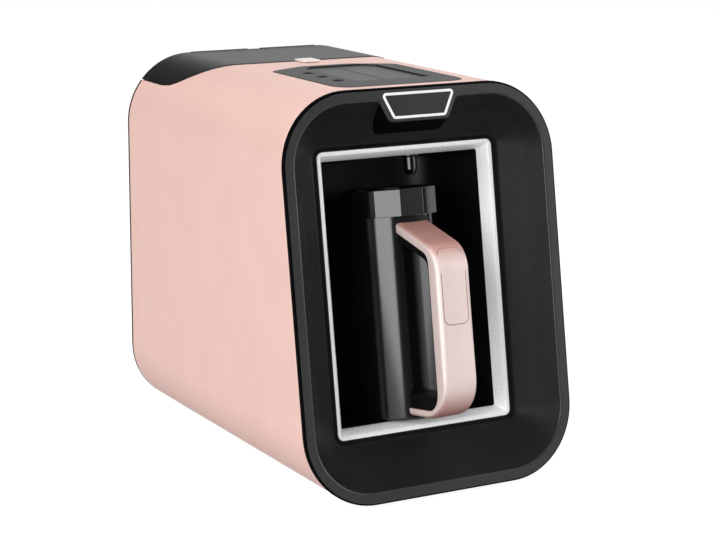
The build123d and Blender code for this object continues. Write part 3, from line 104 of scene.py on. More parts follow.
def roundedLoop(halfWidth, halfHeight, radius, middle=0.0, arc=14, side=6):
    # rounded rectangle, always with the same count of points, so that loops can be bridged
    points = []
    signs = ((1, -1), (1, 1), (-1, 1), (-1, -1))
    for k, (sx, sy) in enumerate(signs):
        cx = sx * (halfWidth - radius)
        cy = middle + sy * (halfHeight - radius)
        for i in range(arc + 1):
            a = math.radians(-90 + 90 * k + 90 * i / arc)
            points.append(Vector((cx + radius * math.cos(a), cy + radius * math.sin(a))))
        nx, ny = signs[(k + 1) % 4]
        end = Vector((
            nx * (halfWidth - radius) + radius * math.cos(math.radians(90 * k)),
            middle + ny * (halfHeight - radius) + radius * math.sin(math.radians(90 * k)),
        ))
        start = points[-1].copy()
        for i in range(1, side + 1):
            points.append(start.lerp(end, i / (side + 1)))
    return points


def bodyLoop(inset, arc=14, side=6):
    half = housing["width"] / 2 - inset
    tall = housing["height"] / 2 - inset
    return roundedLoop(half, tall, housing["corner"] - inset, housing["height"] / 2, arc, side)


def circleLoop(x, y, radius, steps=32):
    turn = 2 * math.pi / steps
    return [
        Vector((x + radius * math.cos(turn * i), y + radius * math.sin(turn * i)))
        for i in range(steps)
    ]


def slotLoop(x, y, length, width, steps=8):
    # bar with round ends, long side across
    points = []
    for side in (1, -1):
        for i in range(steps + 1):
            a = math.radians(-90 + 180 * i / steps)
            points.append(Vector((
                x + side * ((length - width) / 2 + width / 2 * math.cos(a)),
                y + side * width / 2 * math.sin(a),
            )))
    return points


# meshes


def bridge(loops, closed=True, capFirst=False, capLast=False):
    points, faces = [], []
    count = len(loops[0])
    for loop in loops:
        points += loop
    for i in range(len(loops) - 1):
        for j in range(count if closed else count - 1):
            a = i * count + j
            b = i * count + (j + 1) % count
            faces.append((a, b, b + count, a + count))
    if capFirst:
        faces.append(tuple(range(count))[::-1])
    if capLast:
        faces.append(tuple(range((len(loops) - 1) * count, len(loops) * count)))
    return points, faces


def fillFlat(loops):
    # flat sheet inside the first loop, with the other loops as its holes
    bm = bmesh.new()
    for loop in loops:
        verts = [bm.verts.new(p) for p in loop]
        for a, b in zip(verts, verts[1:] + verts[:1]):
            bm.edges.new((a, b))
    bmesh.ops.triangle_fill(bm, use_beauty=True, edges=bm.edges[:])
    bm.verts.index_update()
    points = [v.co.copy() for v in bm.verts]
    faces = [tuple(v.index for v in f.verts) for f in bm.faces]
    bm.free()
    return points, faces


def lathe(profile, place, steps=72):
    turn = 2 * math.pi / steps
    loops = [
        [place(r * math.cos(turn * i), r * math.sin(turn * i), h) for i in range(steps)]
        for r, h in profile
    ]
    return bridge(loops)


def addPiece(name, parts, finish, nodes=(), body="housing", sharp=32.0, facing=None):
    # nodes are the frame's nodes that the piece stands for; facing turns an open sheet's front
    points, faces = [], []
    for partPoints, partFaces in parts:
        offset = len(points)
        points += partPoints
        faces += [tuple(i + offset for i in f) for f in partFaces]
    mesh = bpy.data.meshes.new(name)
    mesh.from_pydata([tuple(p) for p in points], [], faces)
    bm = bmesh.new()
    bm.from_mesh(mesh)
    bmesh.ops.remove_doubles(bm, verts=bm.verts, dist=2e-6)
    bmesh.ops.recalc_face_normals(bm, faces=bm.faces)
    if facing and sum(f.normal.dot(Vector(facing)) * f.calc_area() for f in bm.faces) < 0:
        bmesh.ops.reverse_faces(bm, faces=bm.faces)
    bm.to_mesh(mesh)
    bm.free()
    mesh.polygons.foreach_set("use_smooth", [True] * len(mesh.polygons))
    mesh.set_sharp_from_angle(angle=math.radians(sharp))
    mesh.materials.append(finishes[finish])
    obj = bpy.data.objects.new(name, mesh)
    bpy.context.scene.collection.objects.link(obj)
    even = obj.modifiers.new("evenShade", "WEIGHTED_NORMAL")   # flat faces stay flat
    even.keep_sharp = True
    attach(obj, body)
    if nodes:
        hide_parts(*nodes)


# finishes: colour and roughness wander a little, fine grain stands up as bump


def addNode(tree, kind, sockets=None, operation=None, smooth=False):
    # a socket gets a plain value, or the output of another node
    node = tree.nodes.new(kind)
    if operation:
        node.operation = operation
    if smooth:
        node.interpolation_type = "SMOOTHSTEP"
    for key, value in (sockets or {}).items():
        if isinstance(value, bpy.types.NodeSocket):
            tree.links.new(value, node.inputs[key])
        else:
            node.inputs[key].default_value = value
    return node


def addNoise(tree, place, scale, detail):
    sockets = {"Vector": place, "Scale": scale, "Detail": detail}
    return addNode(tree, "ShaderNodeTexNoise", sockets).outputs["Fac"]


def paintedArmShade(tree, colour, normal, look):
    # painted shade: faces across the axis (the handle's arms) get a deeper, redder tone that
    # stands in for the shade they lie in
    tilt = addNode(tree, "ShaderNodeVectorMath", {0: normal, 1: look["paintedShadeAxis"]}, "DOT_PRODUCT")
    size = addNode(tree, "ShaderNodeMath", {0: tilt.outputs["Value"]}, "ABSOLUTE")
    share = addNode(tree, "ShaderNodeMapRange", {
        "Value": size.outputs["Value"], "From Min": 0.15, "From Max": 0.85,
    }, smooth=True)
    blend = tree.nodes.new("ShaderNodeMix")
    blend.data_type = "RGBA"
    tree.links.new(share.outputs["Result"], blend.inputs["Factor"])
    tree.links.new(colour, blend.inputs[6])
    blend.inputs[7].default_value = (*look["turned"], 1)
    return blend.outputs[2]


def makeFinish(name, look):
    mat = bpy.data.materials.new(name)
    mat.use_nodes = True
    tree = mat.node_tree
    shader = tree.nodes["Principled BSDF"]
    shader.inputs["Metallic"].default_value = look.get("metal", 0.0)
    shader.inputs["IOR"].default_value = look.get("ior", 1.5)
    shader.inputs["Transmission Weight"].default_value = look.get("clear", 0.0)
    place = addNode(tree, "ShaderNodeTexCoord").outputs
    stretch = addNode(tree, "ShaderNodeMapping", {
        "Vector": place["Object"], "Scale": look.get("stretch", (1, 1, 1)),
    }).outputs["Vector"]
    cloud = addNoise(tree, stretch, look.get("cloudScale", 18.0), 3.0)    # slow wander
    ramp = addNode(tree, "ShaderNodeValToRGB", {"Fac": cloud})
    for stop, at, tone in zip(ramp.color_ramp.elements, (0.35, 0.65), look["colours"]):
        stop.position = at
        stop.color = (*tone, 1)
    colour = ramp.outputs["Color"]
    # painted shade: a finish with a turned tone darkens the faces that lie across its axis
    if "turned" in look:
        colour = paintedArmShade(tree, colour, place["Normal"], look)
    tree.links.new(colour, shader.inputs["Base Color"])
    grain = addNoise(tree, stretch, look.get("grainScale", 900.0), 2.0)   # gloss and bump
    gloss = addNode(tree, "ShaderNodeMapRange", {
        "Value": grain, "To Min": look["rough"][0], "To Max": look["rough"][1],
    })
    tree.links.new(gloss.outputs["Result"], shader.inputs["Roughness"])
    bump = addNode(tree, "ShaderNodeBump", {
        "Height": grain, "Strength": look.get("bump", 0.1),
        "Distance": look.get("bumpHeight", 0.00005),
    })
    tree.links.new(bump.outputs["Normal"], shader.inputs["Normal"])
    return mat


looks = {
    "rose_shell": {
        "colours": ((0.81, 0.538, 0.478), (0.83, 0.556, 0.496)),
        "rough": (0.42, 0.5), "metal": 0.2, "ior": 1.38, "cloudScale": 30.0, "grainScale": 2200.0,
        "bump": 0.12,
    },
    "front_black": {
        "colours": ((0.007, 0.007, 0.0075), (0.009, 0.009, 0.0095)),
        "rough": (0.38, 0.46), "ior": 1.2, "grainScale": 1800.0, "bump": 0.15,
    },
    # painted sheen: a lighter copy of the bezel's black, standing in for the sheen that the rim
    # and the badge tab catch
    "rim_black_painted_sheen": {
        "colours": ((0.020, 0.020, 0.0205), (0.025, 0.025, 0.0255)),
        "rough": (0.28, 0.36), "ior": 1.42, "grainScale": 1800.0, "bump": 0.1,
    },
    # painted shade: near-black and dull, for the shade in the gap at the bezel's outer edge and
    # under the badge tab
    "shade_black": {
        "colours": ((0.0012, 0.0012, 0.0013), (0.0018, 0.0018, 0.002)),
        "rough": (0.55, 0.65), "ior": 1.08, "bump": 0.1,
    },
    "niche_black": {
        "colours": ((0.003, 0.003, 0.0033), (0.0045, 0.0045, 0.005)),
        "rough": (0.34, 0.42), "ior": 1.32, "bump": 0.1,
    },
    "gloss_black": {
        "colours": ((0.002, 0.002, 0.0022), (0.003, 0.003, 0.0033)),
        "rough": (0.08, 0.12), "ior": 1.5, "bump": 0.02,
    },
    # painted reflection: near-white and hardly metallic, its pale colour stands in for the bright
    # reflections of the chrome
    "chrome": {
        "colours": ((0.94, 0.94, 0.95), (0.96, 0.96, 0.97)),
        "rough": (0.24, 0.32), "metal": 0.05, "bump": 0.03,
    },
    "badge_gloss": {
        "colours": ((0.020, 0.020, 0.022), (0.026, 0.026, 0.028)),
        "rough": (0.2, 0.26), "ior": 1.4, "bump": 0.03,
    },
    "panel_grey": {
        "colours": ((0.022, 0.022, 0.022), (0.028, 0.028, 0.028)),
        "rough": (0.44, 0.52), "ior": 1.28, "grainScale": 1800.0, "bump": 0.15,
    },
    "key_grey": {
        "colours": ((0.048, 0.048, 0.048), (0.058, 0.058, 0.058)),
        "rough": (0.42, 0.5), "ior": 1.33, "grainScale": 1800.0, "bump": 0.15,
    },
    "lid_grey": {
        "colours": ((0.003, 0.003, 0.0034), (0.0045, 0.0045, 0.005)),
        "rough": (0.38, 0.46), "ior": 1.38, "grainScale": 1800.0, "bump": 0.15,
    },
    "lamp_lens": {
        "colours": ((0.003, 0.003, 0.0035), (0.005, 0.005, 0.0055)),
        "rough": (0.2, 0.28), "ior": 1.2, "bump": 0.03,
    },
    "pot_black": {
        "colours": ((0.002, 0.002, 0.0022), (0.0035, 0.0035, 0.0038)),
        "rough": (0.12, 0.16), "ior": 1.5, "bump": 0.03,
    },
    # painted light: the pale colours are partly the rose-gold paint and partly painted sheen on
    # the grip's front; the darker, redder turned tone is painted shade on the arms
    "rose_grip": {
        "colours": ((0.78, 0.63, 0.605), (0.81, 0.66, 0.63)),
        "turned": (0.5, 0.26, 0.22), "paintedShadeAxis": (0.0, 0.166, 0.986),
        "rough": (0.38, 0.46), "metal": 0.2, "grainScale": 2200.0, "bump": 0.1,
    },
    # painted shade: a dark rose for the thin strip round the thumb inset, standing in for the
    # shade in its seam
    "rose_seam_painted_shade": {
        "colours": ((0.20, 0.11, 0.095), (0.23, 0.125, 0.11)),
        "rough": (0.5, 0.6), "metal": 0.0,
    },
    "rose_tab": {
        "colours": ((0.84, 0.75, 0.73), (0.88, 0.79, 0.77)),
        "rough": (0.26, 0.34), "metal": 0.3, "bump": 0.05,
    },
    "grip_core": {
        "colours": ((0.003, 0.003, 0.003), (0.0045, 0.0045, 0.0045)),
        "rough": (0.44, 0.54), "ior": 1.22, "bump": 0.15,
    },
    "tank_clear": {
        "colours": ((0.045, 0.048, 0.05), (0.06, 0.064, 0.067)),
        "rough": (0.08, 0.12), "clear": 0.35, "ior": 1.5, "bump": 0.03,
    },
    "inner_moulding": {
        "colours": ((0.034, 0.034, 0.037), (0.046, 0.046, 0.049)),
        "rough": (0.5, 0.6), "bump": 0.2,
    },
    "heater_steel": {
        "colours": ((0.50, 0.49, 0.48), (0.58, 0.57, 0.56)),
        "rough": (0.22, 0.36), "metal": 1.0, "grainScale": 500.0, "stretch": (1, 9, 1),
    },
    "zinc_steel": {
        "colours": ((0.56, 0.56, 0.54), (0.66, 0.66, 0.64)),
        "rough": (0.26, 0.36), "metal": 1.0,
    },
    "spring_steel": {
        "colours": ((0.54, 0.54, 0.54), (0.62, 0.62, 0.62)),
        "rough": (0.2, 0.3), "metal": 1.0,
    },
    "cast_aluminium": {
        "colours": ((0.60, 0.60, 0.61), (0.68, 0.68, 0.69)),
        "rough": (0.38, 0.5), "metal": 1.0, "bump": 0.3,
    },
    "element_sheath": {
        "colours": ((0.24, 0.21, 0.20), (0.33, 0.30, 0.28)),
        "rough": (0.4, 0.55), "metal": 1.0, "cloudScale": 60.0,
    },
    "ceramic_felt": {
        "colours": ((0.78, 0.77, 0.73), (0.88, 0.87, 0.83)),
        "rough": (0.85, 0.95), "grainScale": 600.0, "bump": 0.6, "bumpHeight": 0.0004,
    },
    "rubber_black": {
        "colours": ((0.020, 0.020, 0.020), (0.028, 0.028, 0.028)),
        "rough": (0.6, 0.72), "bump": 0.25,
    },
    "silicone_clear": {
        "colours": ((0.68, 0.68, 0.66), (0.76, 0.76, 0.74)),
        "rough": (0.35, 0.45), "clear": 0.3, "ior": 1.41,
    },
    "board_green": {
        "colours": ((0.025, 0.17, 0.08), (0.04, 0.22, 0.11)),
        "rough": (0.3, 0.42), "cloudScale": 120.0,
    },
    "component_black": {
        "colours": ((0.020, 0.020, 0.022), (0.032, 0.032, 0.034)),
        "rough": (0.42, 0.55), "bump": 0.2,
    },
    "component_yellow": {
        "colours": ((0.66, 0.50, 0.08), (0.76, 0.60, 0.12)),
        "rough": (0.4, 0.5), "stretch": (1, 1, 14), "grainScale": 120.0,
    },
    "relay_blue": {
        "colours": ((0.04, 0.12, 0.38), (0.06, 0.16, 0.46)),
        "rough": (0.24, 0.34),
    },
    "lamp_white": {
        "colours": ((0.80, 0.80, 0.77), (0.88, 0.88, 0.85)),
        "rough": (0.34, 0.44),
    },
}
finishes = {name: makeFinish(name, look) for name, look in looks.items()}
for part in frame["record"]["subparts"]:
    obj, slot = frame["nodes"][part["node"]], part["material_slot"]
    obj.data.materials.clear()
    obj.data.materials.append(finishes[slot])
print("finishes laid on the frame")

# front bezel: rounded rim, concave dish and the flat border round the chrome frame
bezel = {
    "proud": 0.5,
    "lip": 3.2,
    "edge": 1.2,
    "skirt": 9.0,        # depth of the wall that closes the gap to the sleeve
    "skirtOut": 0.6,     # its outer face, in from the housing's outline
    "skirtIn": 4.4,      # where its end stops
    "rimWidth": 6.6,
    "rimCorner": 38.5,
    "rimEdge": 1.5,      # rounding where the rim turns into the dish
    "dishDepth": 20.0,
    "dishHollow": 1.5,   # how far the dish sinks below a straight slope
    "dishRun": 22.0,     # the dish's own width, so that its rounding is nearly true
    "dishBend": 34.0,    # radius of its bend, and how far down the slope it lies
    "dishBendAt": 0.42,
    "border": 4.0,
    "borderCorner": 8.0,
    "grooveInset": 2.0,
    "grooveWidth": 0.9,
    "grooveDepth": 0.8,
}
chrome = {
    "width": 124.0,
    "bottom": 38.0,
    "topGap": 35.0,
    "flange": 2.0,
    "bevel": 4.0,
    "knee": (0.7, 0.5),  # where the slope steepens, in shares of the bevel and of the depth
    "depth": 8.7,
    "corner": 4.0,
    "innerCorner": 1.2,
}
chrome["height"] = frontLength - chrome["bottom"] - chrome["topGap"]
chrome["middle"] = chrome["bottom"] + chrome["height"] / 2
arcSteps = 20            # points round a corner of the front, and along a side
sideSteps = 12
dishSteps = 8            # points round a bend of the dish


def bodyRing(inset, depth):
    ring = []
    for p in bodyLoop(inset, arcSteps, sideSteps):
        y = (depth + p.y * leanSin) / leanCos
        ring.append(bodyPoint(p.x, y, p.y))
    return ring


def chromeLoop(grow, corner):
    return roundedLoop(
        chrome["width"] / 2 + grow, chrome["height"] / 2 + grow, corner,
        chrome["middle"], arcSteps, sideSteps,
    )


def rimLoop(grow):
    return roundedLoop(
        housing["width"] / 2 - bezel["rimWidth"] + grow,
        frontLength / 2 - bezel["rimWidth"] + grow, bezel["rimCorner"] + grow,
        frontLength / 2, arcSteps, sideSteps,
    )


def frontRing(loop, depth):
    return [frontPoint(p.x, p.y, depth) for p in loop]


def bezelRings():
    # from the skirt inside the sleeve, over the rim and down the dish to its floor
    outer = roundedPath([
        (bezel["skirtIn"], bezel["skirt"]), (bezel["skirtOut"], bezel["skirt"]),
        (bezel["skirtOut"], bezel["lip"]),
        (-bezel["proud"], bezel["lip"], 0.3), (-bezel["proud"], 0, bezel["edge"]), (3, 0),
    ])
    rings = [bodyRing(p.x, p.y) for p in outer]
    run, bend = bezel["dishRun"], bezel["dishBendAt"]
    dish = roundedPath([
        (-2.5, 0), (0, 0, bezel["rimEdge"]),
        (bend * run, bend * bezel["dishDepth"] + bezel["dishHollow"], bezel["dishBend"]),
        (run, bezel["dishDepth"], 3), (run + 3, bezel["dishDepth"]),
    ], steps=dishSteps)
    for p in dish:
        if p.x < 0:
            loop = rimLoop(-p.x)
        elif p.x > run:
            loop = chromeLoop(bezel["border"] - p.x + run, bezel["borderCorner"] - p.x + run)
        else:
            border = chromeLoop(bezel["border"], bezel["borderCorner"])
            loop = [a.lerp(b, p.x / run) for a, b in zip(rimLoop(0), border)]
        rings.append(frontRing(loop, p.y))
    return rings, len(outer) - 2, len(outer) + dishSteps + 1


rings, rimStart, rimStop = bezelRings()
towardUser = (0, -1, 0)
# painted shade: the outer edge and skirt are near-black, for the shadow gap to the sleeve
addPiece("bezelEdge", [bridge(rings[:rimStart + 1])], "shade_black",
         facing=towardUser)
# painted sheen: the rim takes the lighter black
addPiece("bezelRim", [bridge(rings[rimStart:rimStop + 1])], "rim_black_painted_sheen",
         facing=towardUser)
rings = rings[rimStop:]
grooveOut = bezel["grooveInset"] + bezel["grooveWidth"]
grooveFloor = bezel["dishDepth"] + bezel["grooveDepth"]
for grow, depth in (
    (grooveOut, bezel["dishDepth"]), (grooveOut - 0.2, grooveFloor),
    (bezel["grooveInset"] + 0.2, grooveFloor), (bezel["grooveInset"], bezel["dishDepth"]),
    (0.3, bezel["dishDepth"]), (0.05, bezel["dishDepth"] + 0.25),
    (0.05, bezel["dishDepth"] + chrome["depth"]),
):
    rings.append(frontRing(chromeLoop(grow, chrome["corner"] + grow), depth))
addPiece("bezel", [bridge(rings)], "front_black", ["front_bezel"], facing=towardUser)

# chrome frame: flat flange, a fine step, then the sloping inside
rings = []
flange, bevel, deep = chrome["flange"], chrome["bevel"], chrome["depth"]
kneeAcross, kneeDown = chrome["knee"]
for inset, depth in (
    (0, deep), (0, 0.35), (0.1, 0.1), (0.35, 0), (flange - 0.35, 0), (flange - 0.1, 0.1),
    (flange, 0.45), (flange + 0.3, 0.6), (flange + 0.6, 0.75),
    (flange + kneeAcross * bevel, kneeDown * deep), (flange + bevel - 0.3, deep - 0.7),
    (flange + bevel, deep),
):
    corner = max(chrome["corner"] - inset, chrome["innerCorner"])
    rings.append(frontRing(chromeLoop(-inset, corner), bezel["dishDepth"] + depth))
# painted reflection: the frame's near-white colour stands in for the reflections of the chrome
addPiece("chromeFrame", [bridge(rings)], "chrome", ["chrome_frame"])
print("bezel and chrome frame built")

# bare badge: a tab that grows out of the rim, its flared neck, bright outline and plate
badge = {
    "topHalf": 26.0,       # outline, at its upper and lower edge
    "lowHalf": 18.3,
    "top": 2.5,            # below the top edge of the front
    "low": 18.4,
    "margin": 3.1,         # of the tab outside the outline
    "lowMargin": 1.9,
    "edge": 1.5,           # rounding of the tab
    "fillet": 6.0,         # where the tab leaves the rim
    "corner": 4.0,
    "reach": 38.0,         # half width of the sheet that lies on the rim
    "sheetTop": 3.2,       # that sheet's upper edge, below the top edge of the front
    "rimGap": -0.02,       # so closely it lies over the rim
    "flare": 0.42,         # the neck widens so much for each mm of depth
    "neckDepths": (7.0, 13.0),
    "trimWidth": 1.6,
    "trimHeight": 0.4,
    "trimCorner": 2.2,
}
badge["slant"] = (badge["topHalf"] - badge["lowHalf"]) / (badge["low"] - badge["top"])


def tabHalf(w, grow):        # half width at w below the top edge of the front
    slope = badge["slant"]
    side = (badge["margin"] + grow) * math.hypot(1, slope)
    return badge["topHalf"] + side - slope * (w - badge["top"])


def tabLine(grow):           # from the rim at the left, round the tab, to the rim at the right
    start = bezel["rimWidth"] + grow
    low = badge["low"] + badge["lowMargin"] + grow
    fillet = max(badge["fillet"] - grow, 1.0)
    half = [
        (badge["reach"], -start), (tabHalf(start, grow), -start, fillet),
        (tabHalf(low, grow), -low, badge["corner"] + grow * 0.5),
    ]
    return roundedPath([(-p[0], *p[1:]) for p in half] + half[::-1], steps=8)


def onFront(loop, depth):    # heights measured from the top edge of the front
    return [frontPoint(p.x, frontLength + p.y, depth) for p in loop]


def outlineLoop(inset):
    slope = badge["slant"]
    side = inset * math.hypot(1, slope)
    top, low = badge["top"] + inset, badge["low"] - inset
    topHalf = badge["topHalf"] - side - slope * inset
    lowHalf = badge["lowHalf"] - side + slope * inset
    bend = max(badge["trimCorner"] - inset, 0.5)
    return roundedPath([
        (-topHalf, -top, bend), (-lowHalf, -low, bend), (lowHalf, -low, bend),
        (topHalf, -top, bend),
    ], steps=6, closed=True)


def badgeRings(rows):
    return [onFront(outlineLoop(inset), -height) for inset, height in rows]


tabRings = []
for i in range(9):
    a = math.radians(90 * i / 8)
    grow = -badge["edge"] * (1 - math.sin(a))
    depth = badge["rimGap"] + badge["edge"] * (1 - math.cos(a))
    tabRings.append(onFront(tabLine(grow), depth))
upper = [Vector((side * badge["reach"], -badge["sheetTop"])) for side in (1, -1)]
flatSheet = fillFlat([onFront(tabLine(-badge["edge"]) + upper, badge["rimGap"])])
# the tab takes the rim's lighter black, painted sheen
addPiece("badgeTab", [bridge(tabRings, closed=False), flatSheet], "rim_black_painted_sheen", ["badge_plate"],
         facing=towardUser)
# painted shade: the neck is near-black, for the deep shade under the tab
neckRings = [
    onFront(tabLine(badge["flare"] * (d - badge["edge"])), d)
    for d in (badge["edge"] + badge["rimGap"], *badge["neckDepths"], bezel["dishDepth"] - 0.5)
]
addPiece("badgeNeck", [bridge(neckRings, closed=False)], "shade_black")
trim, high = badge["trimWidth"], badge["trimHeight"]
trimRings = badgeRings((
    (0, -0.3), (0, high - 0.15), (0.15, high), (trim - 0.15, high), (trim, high - 0.15),
    (trim, -0.3),
))
# the outline shares the chrome finish, and its whiteness is painted reflection
addPiece("badgeOutline", [bridge(trimRings)], "chrome", ["badge_trim"])
faceRings = badgeRings((
    (trim - 0.1, -0.2), (trim - 0.1, 0.05), (trim + 0.1, 0.12), (trim + 0.5, 0.15),
))
addPiece("badgeFace", [bridge(faceRings, capLast=True)], "badge_gloss")
print("badge built")

# rose sleeve: rolled front lip, seam edge for the lid, windows for panel and base
sleeve = {
    "wall": 1.2,
    "lipDepth": 3.9,      # behind the plane of the front
    "lipRound": 0.6,
    "lipInside": 4.0,     # how far the lip's inner face runs back
    "lipOutside": 1.2,    # where the side starts behind the lip
    "rear": 264.5,
    "lidFront": 188.5,
    "lidCorner": 220.5,
    "lidEdge": 228.5,
    "lidEdgeRadius": 50.0,
}
panel = {
    "half": 46.0,
    "front": 56.0,
    "shoulder": 147.5,
    "rear": 162.0,
    "nose": 17.0,
    "frontCorner": 12.0,
    "shoulderCorner": 8.0,
    "rearCorner": 3.0,
    "thick": 4.8,
    "proud": 0.3,
}
baseWindow = {"half": 46.0, "front": 24.0, "rear": 250.0, "corner": 12.0}


def panelLoop(gap):
    side, rear = panel["half"] - gap, panel["rear"] - gap
    frontLeft = (-side, panel["front"] + gap, panel["frontCorner"])
    right = [
        (side, panel["front"] + gap, panel["frontCorner"]),
        (side, panel["shoulder"], panel["shoulderCorner"]),
        (panel["nose"], rear, panel["rearCorner"]),
    ]
    left = [(-x, y, radius) for x, y, radius in right[:0:-1]]
    return roundedPath([frontLeft] + right + left, steps=8, closed=True)


def lidEdgeLine(seam):
    return roundedPath([
        (sleeve["lidFront"] + seam, housing["height"] + seam),
        (sleeve["lidCorner"] + seam, sleeve["lidEdge"] + seam, sleeve["lidEdgeRadius"]),
        (sleeve["rear"] + 10, sleeve["lidEdge"] + seam),
    ], steps=24)


def lidEdgeAt(z, seam=0.0):
    # how far back the sloping edge lies at a height
    line = lidEdgeLine(seam)
    if z >= line[0].y:
        return line[0].x
    for a, b in zip(line, line[1:]):
        if a.y >= z >= b.y and a.y - b.y > 1e-6:
            return a.x + (b.x - a.x) * (a.y - z) / (a.y - b.y)
    return line[-2].x


def shellColumns(edgeHeight, grow, arc=24, side=10):
    # columns round the housing: (centre x, centre z, angle), one of them just at the lid's edge
    half = housing["width"] / 2 - housing["corner"]
    tall = housing["height"] / 2 - housing["corner"]
    middle = housing["height"] / 2
    reach = housing["corner"] + grow
    cut = math.degrees(math.asin((edgeHeight - middle - tall) / reach))
    columns = []
    signs = ((1, -1), (1, 1), (-1, 1), (-1, -1))
    for k, (sx, sz) in enumerate(signs):
        angles = [-90 + 90 * k + 90 * i / arc for i in range(arc + 1)]
        for target in (cut, 180 - cut):
            if angles[0] < target < angles[-1]:
                nearest = min(range(1, arc), key=lambda i: abs(angles[i] - target))
                angles[nearest] = target
        columns += [(sx * half, middle + sz * tall, math.radians(a)) for a in angles]
        nx, nz = signs[(k + 1) % 4]
        for i in range(1, side + 1):
            t = i / (side + 1)
            columns.append((
                sx * half + (nx - sx) * half * t,
                middle + sz * tall + (nz - sz) * tall * t,
                math.radians(90 * k),
            ))
    return columns


def columnPoint(column, inset):
    cx, cz, a = column
    reach = housing["corner"] - inset
    return cx + reach * math.cos(a), cz + reach * math.sin(a)


def baseLoop():
    length = baseWindow["rear"] - baseWindow["front"]
    middle = baseWindow["front"] + length / 2
    return roundedLoop(baseWindow["half"], length / 2, baseWindow["corner"], middle, 6, 0)


def sleeveMesh():
    columns = shellColumns(sleeve["lidEdge"], 0.0)
    lip = roundedPath([
        (sleeve["wall"], sleeve["lipDepth"] + sleeve["lipInside"]),
        (sleeve["wall"], sleeve["lipDepth"]),
        (0, sleeve["lipDepth"], sleeve["lipRound"]),
        (0, sleeve["lipDepth"] + sleeve["lipOutside"]),
    ], steps=5)
    rings = []
    for p in lip:
        ring = []
        for column in columns:
            x, z = columnPoint(column, p.x)
            ring.append(bodyPoint(x, (p.y + z * leanSin) / leanCos, z))
        rings.append(ring)
    parts = [bridge(rings)]
    front = rings[-1]
    count = len(columns)
    points, faces = [], []

    def quad(*corners):
        faces.append(tuple(range(len(points), len(points) + len(corners))))
        points.extend(corners)

    topRow, lowRow = [], []
    for i in range(count):
        j = (i + 1) % count
        (ax, az), (bx, bz) = columnPoint(columns[i], 0), columnPoint(columns[j], 0)
        flatTop, flatLow = min(az, bz) > housing["height"] - hair, max(az, bz) < hair
        upper = min(az, bz) >= sleeve["lidEdge"] - hair
        aEnd = lidEdgeAt(az) if upper else sleeve["rear"]
        bEnd = lidEdgeAt(bz) if upper else sleeve["rear"]
        if flatTop:
            topRow.append((i, j))
        elif flatLow:
            lowRow.append((i, j))
        else:
            quad(front[i], front[j], bodyPoint(bx, bEnd, bz), bodyPoint(ax, aEnd, az))
        # the sheet's edge at the rear and along the lid
        (ix, iz), (jx, jz) = (columnPoint(columns[k], sleeve["wall"]) for k in (i, j))
        iEnd = lidEdgeAt(iz) if upper else aEnd
        jEnd = lidEdgeAt(jz) if upper else bEnd
        quad(bodyPoint(ax, aEnd, az), bodyPoint(bx, bEnd, bz), bodyPoint(jx, jEnd, jz),
             bodyPoint(ix, iEnd, iz))
    for row, end, z, hole in (
        (topRow, sleeve["lidFront"], housing["height"], panelLoop(0)),
        (lowRow, sleeve["rear"], 0.0, baseLoop()),
    ):
        chain = [front[i] for i, j in row] + [front[row[-1][1]]]
        back = [bodyPoint(p.x / mm, end, z) for p in (chain[-1], chain[0])]
        parts.append(fillFlat([chain + back, [bodyPoint(p.x, p.y, z) for p in hole]]))
        down = sleeve["wall"] if z else -sleeve["wall"]
        parts.append(bridge([[bodyPoint(p.x, p.y, z) for p in hole],
                             [bodyPoint(p.x, p.y, z - down) for p in hole]]))
    for sx in (1, -1):      # edge of the sheet under the lid's side flaps
        reach = housing["corner"]
        side = housing["width"] / 2 - reach
        rise = sleeve["lidEdge"] - (housing["height"] - reach)
        a = math.asin(rise / reach)
        outer = sx * (side + reach * math.cos(a))
        inner = sx * (side + (reach - sleeve["wall"]) * math.cos(a))
        z = sleeve["lidEdge"]
        start = lidEdgeAt(z + 1e-3)
        quad(bodyPoint(outer, start, z), bodyPoint(outer, sleeve["rear"], z),
             bodyPoint(inner, sleeve["rear"], z), bodyPoint(inner, start, z))
    parts.append((points, faces))
    return parts


addPiece("roseSleeve", sleeveMesh(), "rose_shell", ["body_sleeve"], sharp=40.0)
print("sleeve built")

# niche: one moulding with soft corners, spout, sensor window and heater
niche = {
    "front": 28.7,
    "back": 94.0,
    "corner": 24.0,
    "soft": 4.0,          # rounding between the walls and the floor or ceiling
    "lap": 0.3,           # of the frame's inner edge over the niche's mouth
}
frameWidth = chrome["flange"] + chrome["bevel"] - niche["lap"]
niche["half"] = chrome["width"] / 2 - frameWidth
niche["height"] = chrome["height"] - 2 * frameWidth
niche["floor"] = chrome["middle"] - niche["height"] / 2


def nichePoint(x, d, h):    # h above the niche's floor, d behind the front
    return frontPoint(x, niche["floor"] + h, d)


def nicheLoop(inset):
    half, back = niche["half"] - inset, niche["back"] - inset
    corner = niche["corner"] - inset
    return roundedPath([
        (-half, niche["front"]), (-half, back, corner), (half, back, corner),
        (half, niche["front"]),
    ], steps=16)


def nicheMesh():
    soft, high = niche["soft"], niche["height"]
    turn = [math.radians(90 * i / 6) for i in range(7)]
    rows = [(soft * (1 - math.sin(a)), soft * (1 - math.cos(a))) for a in turn]
    rows += [(soft * (1 - math.sin(a)), high - soft * (1 - math.cos(a))) for a in turn[::-1]]
    rings = [[nichePoint(p.x, p.y, h) for p in nicheLoop(inset)] for inset, h in rows]
    parts = [bridge(rings, closed=False)]
    for h in (0, high):
        parts.append(fillFlat([[nichePoint(p.x, p.y, h) for p in nicheLoop(soft)]]))
    return parts


addPiece("nicheLiner", nicheMesh(), "niche_black", ["cavity_liner"])

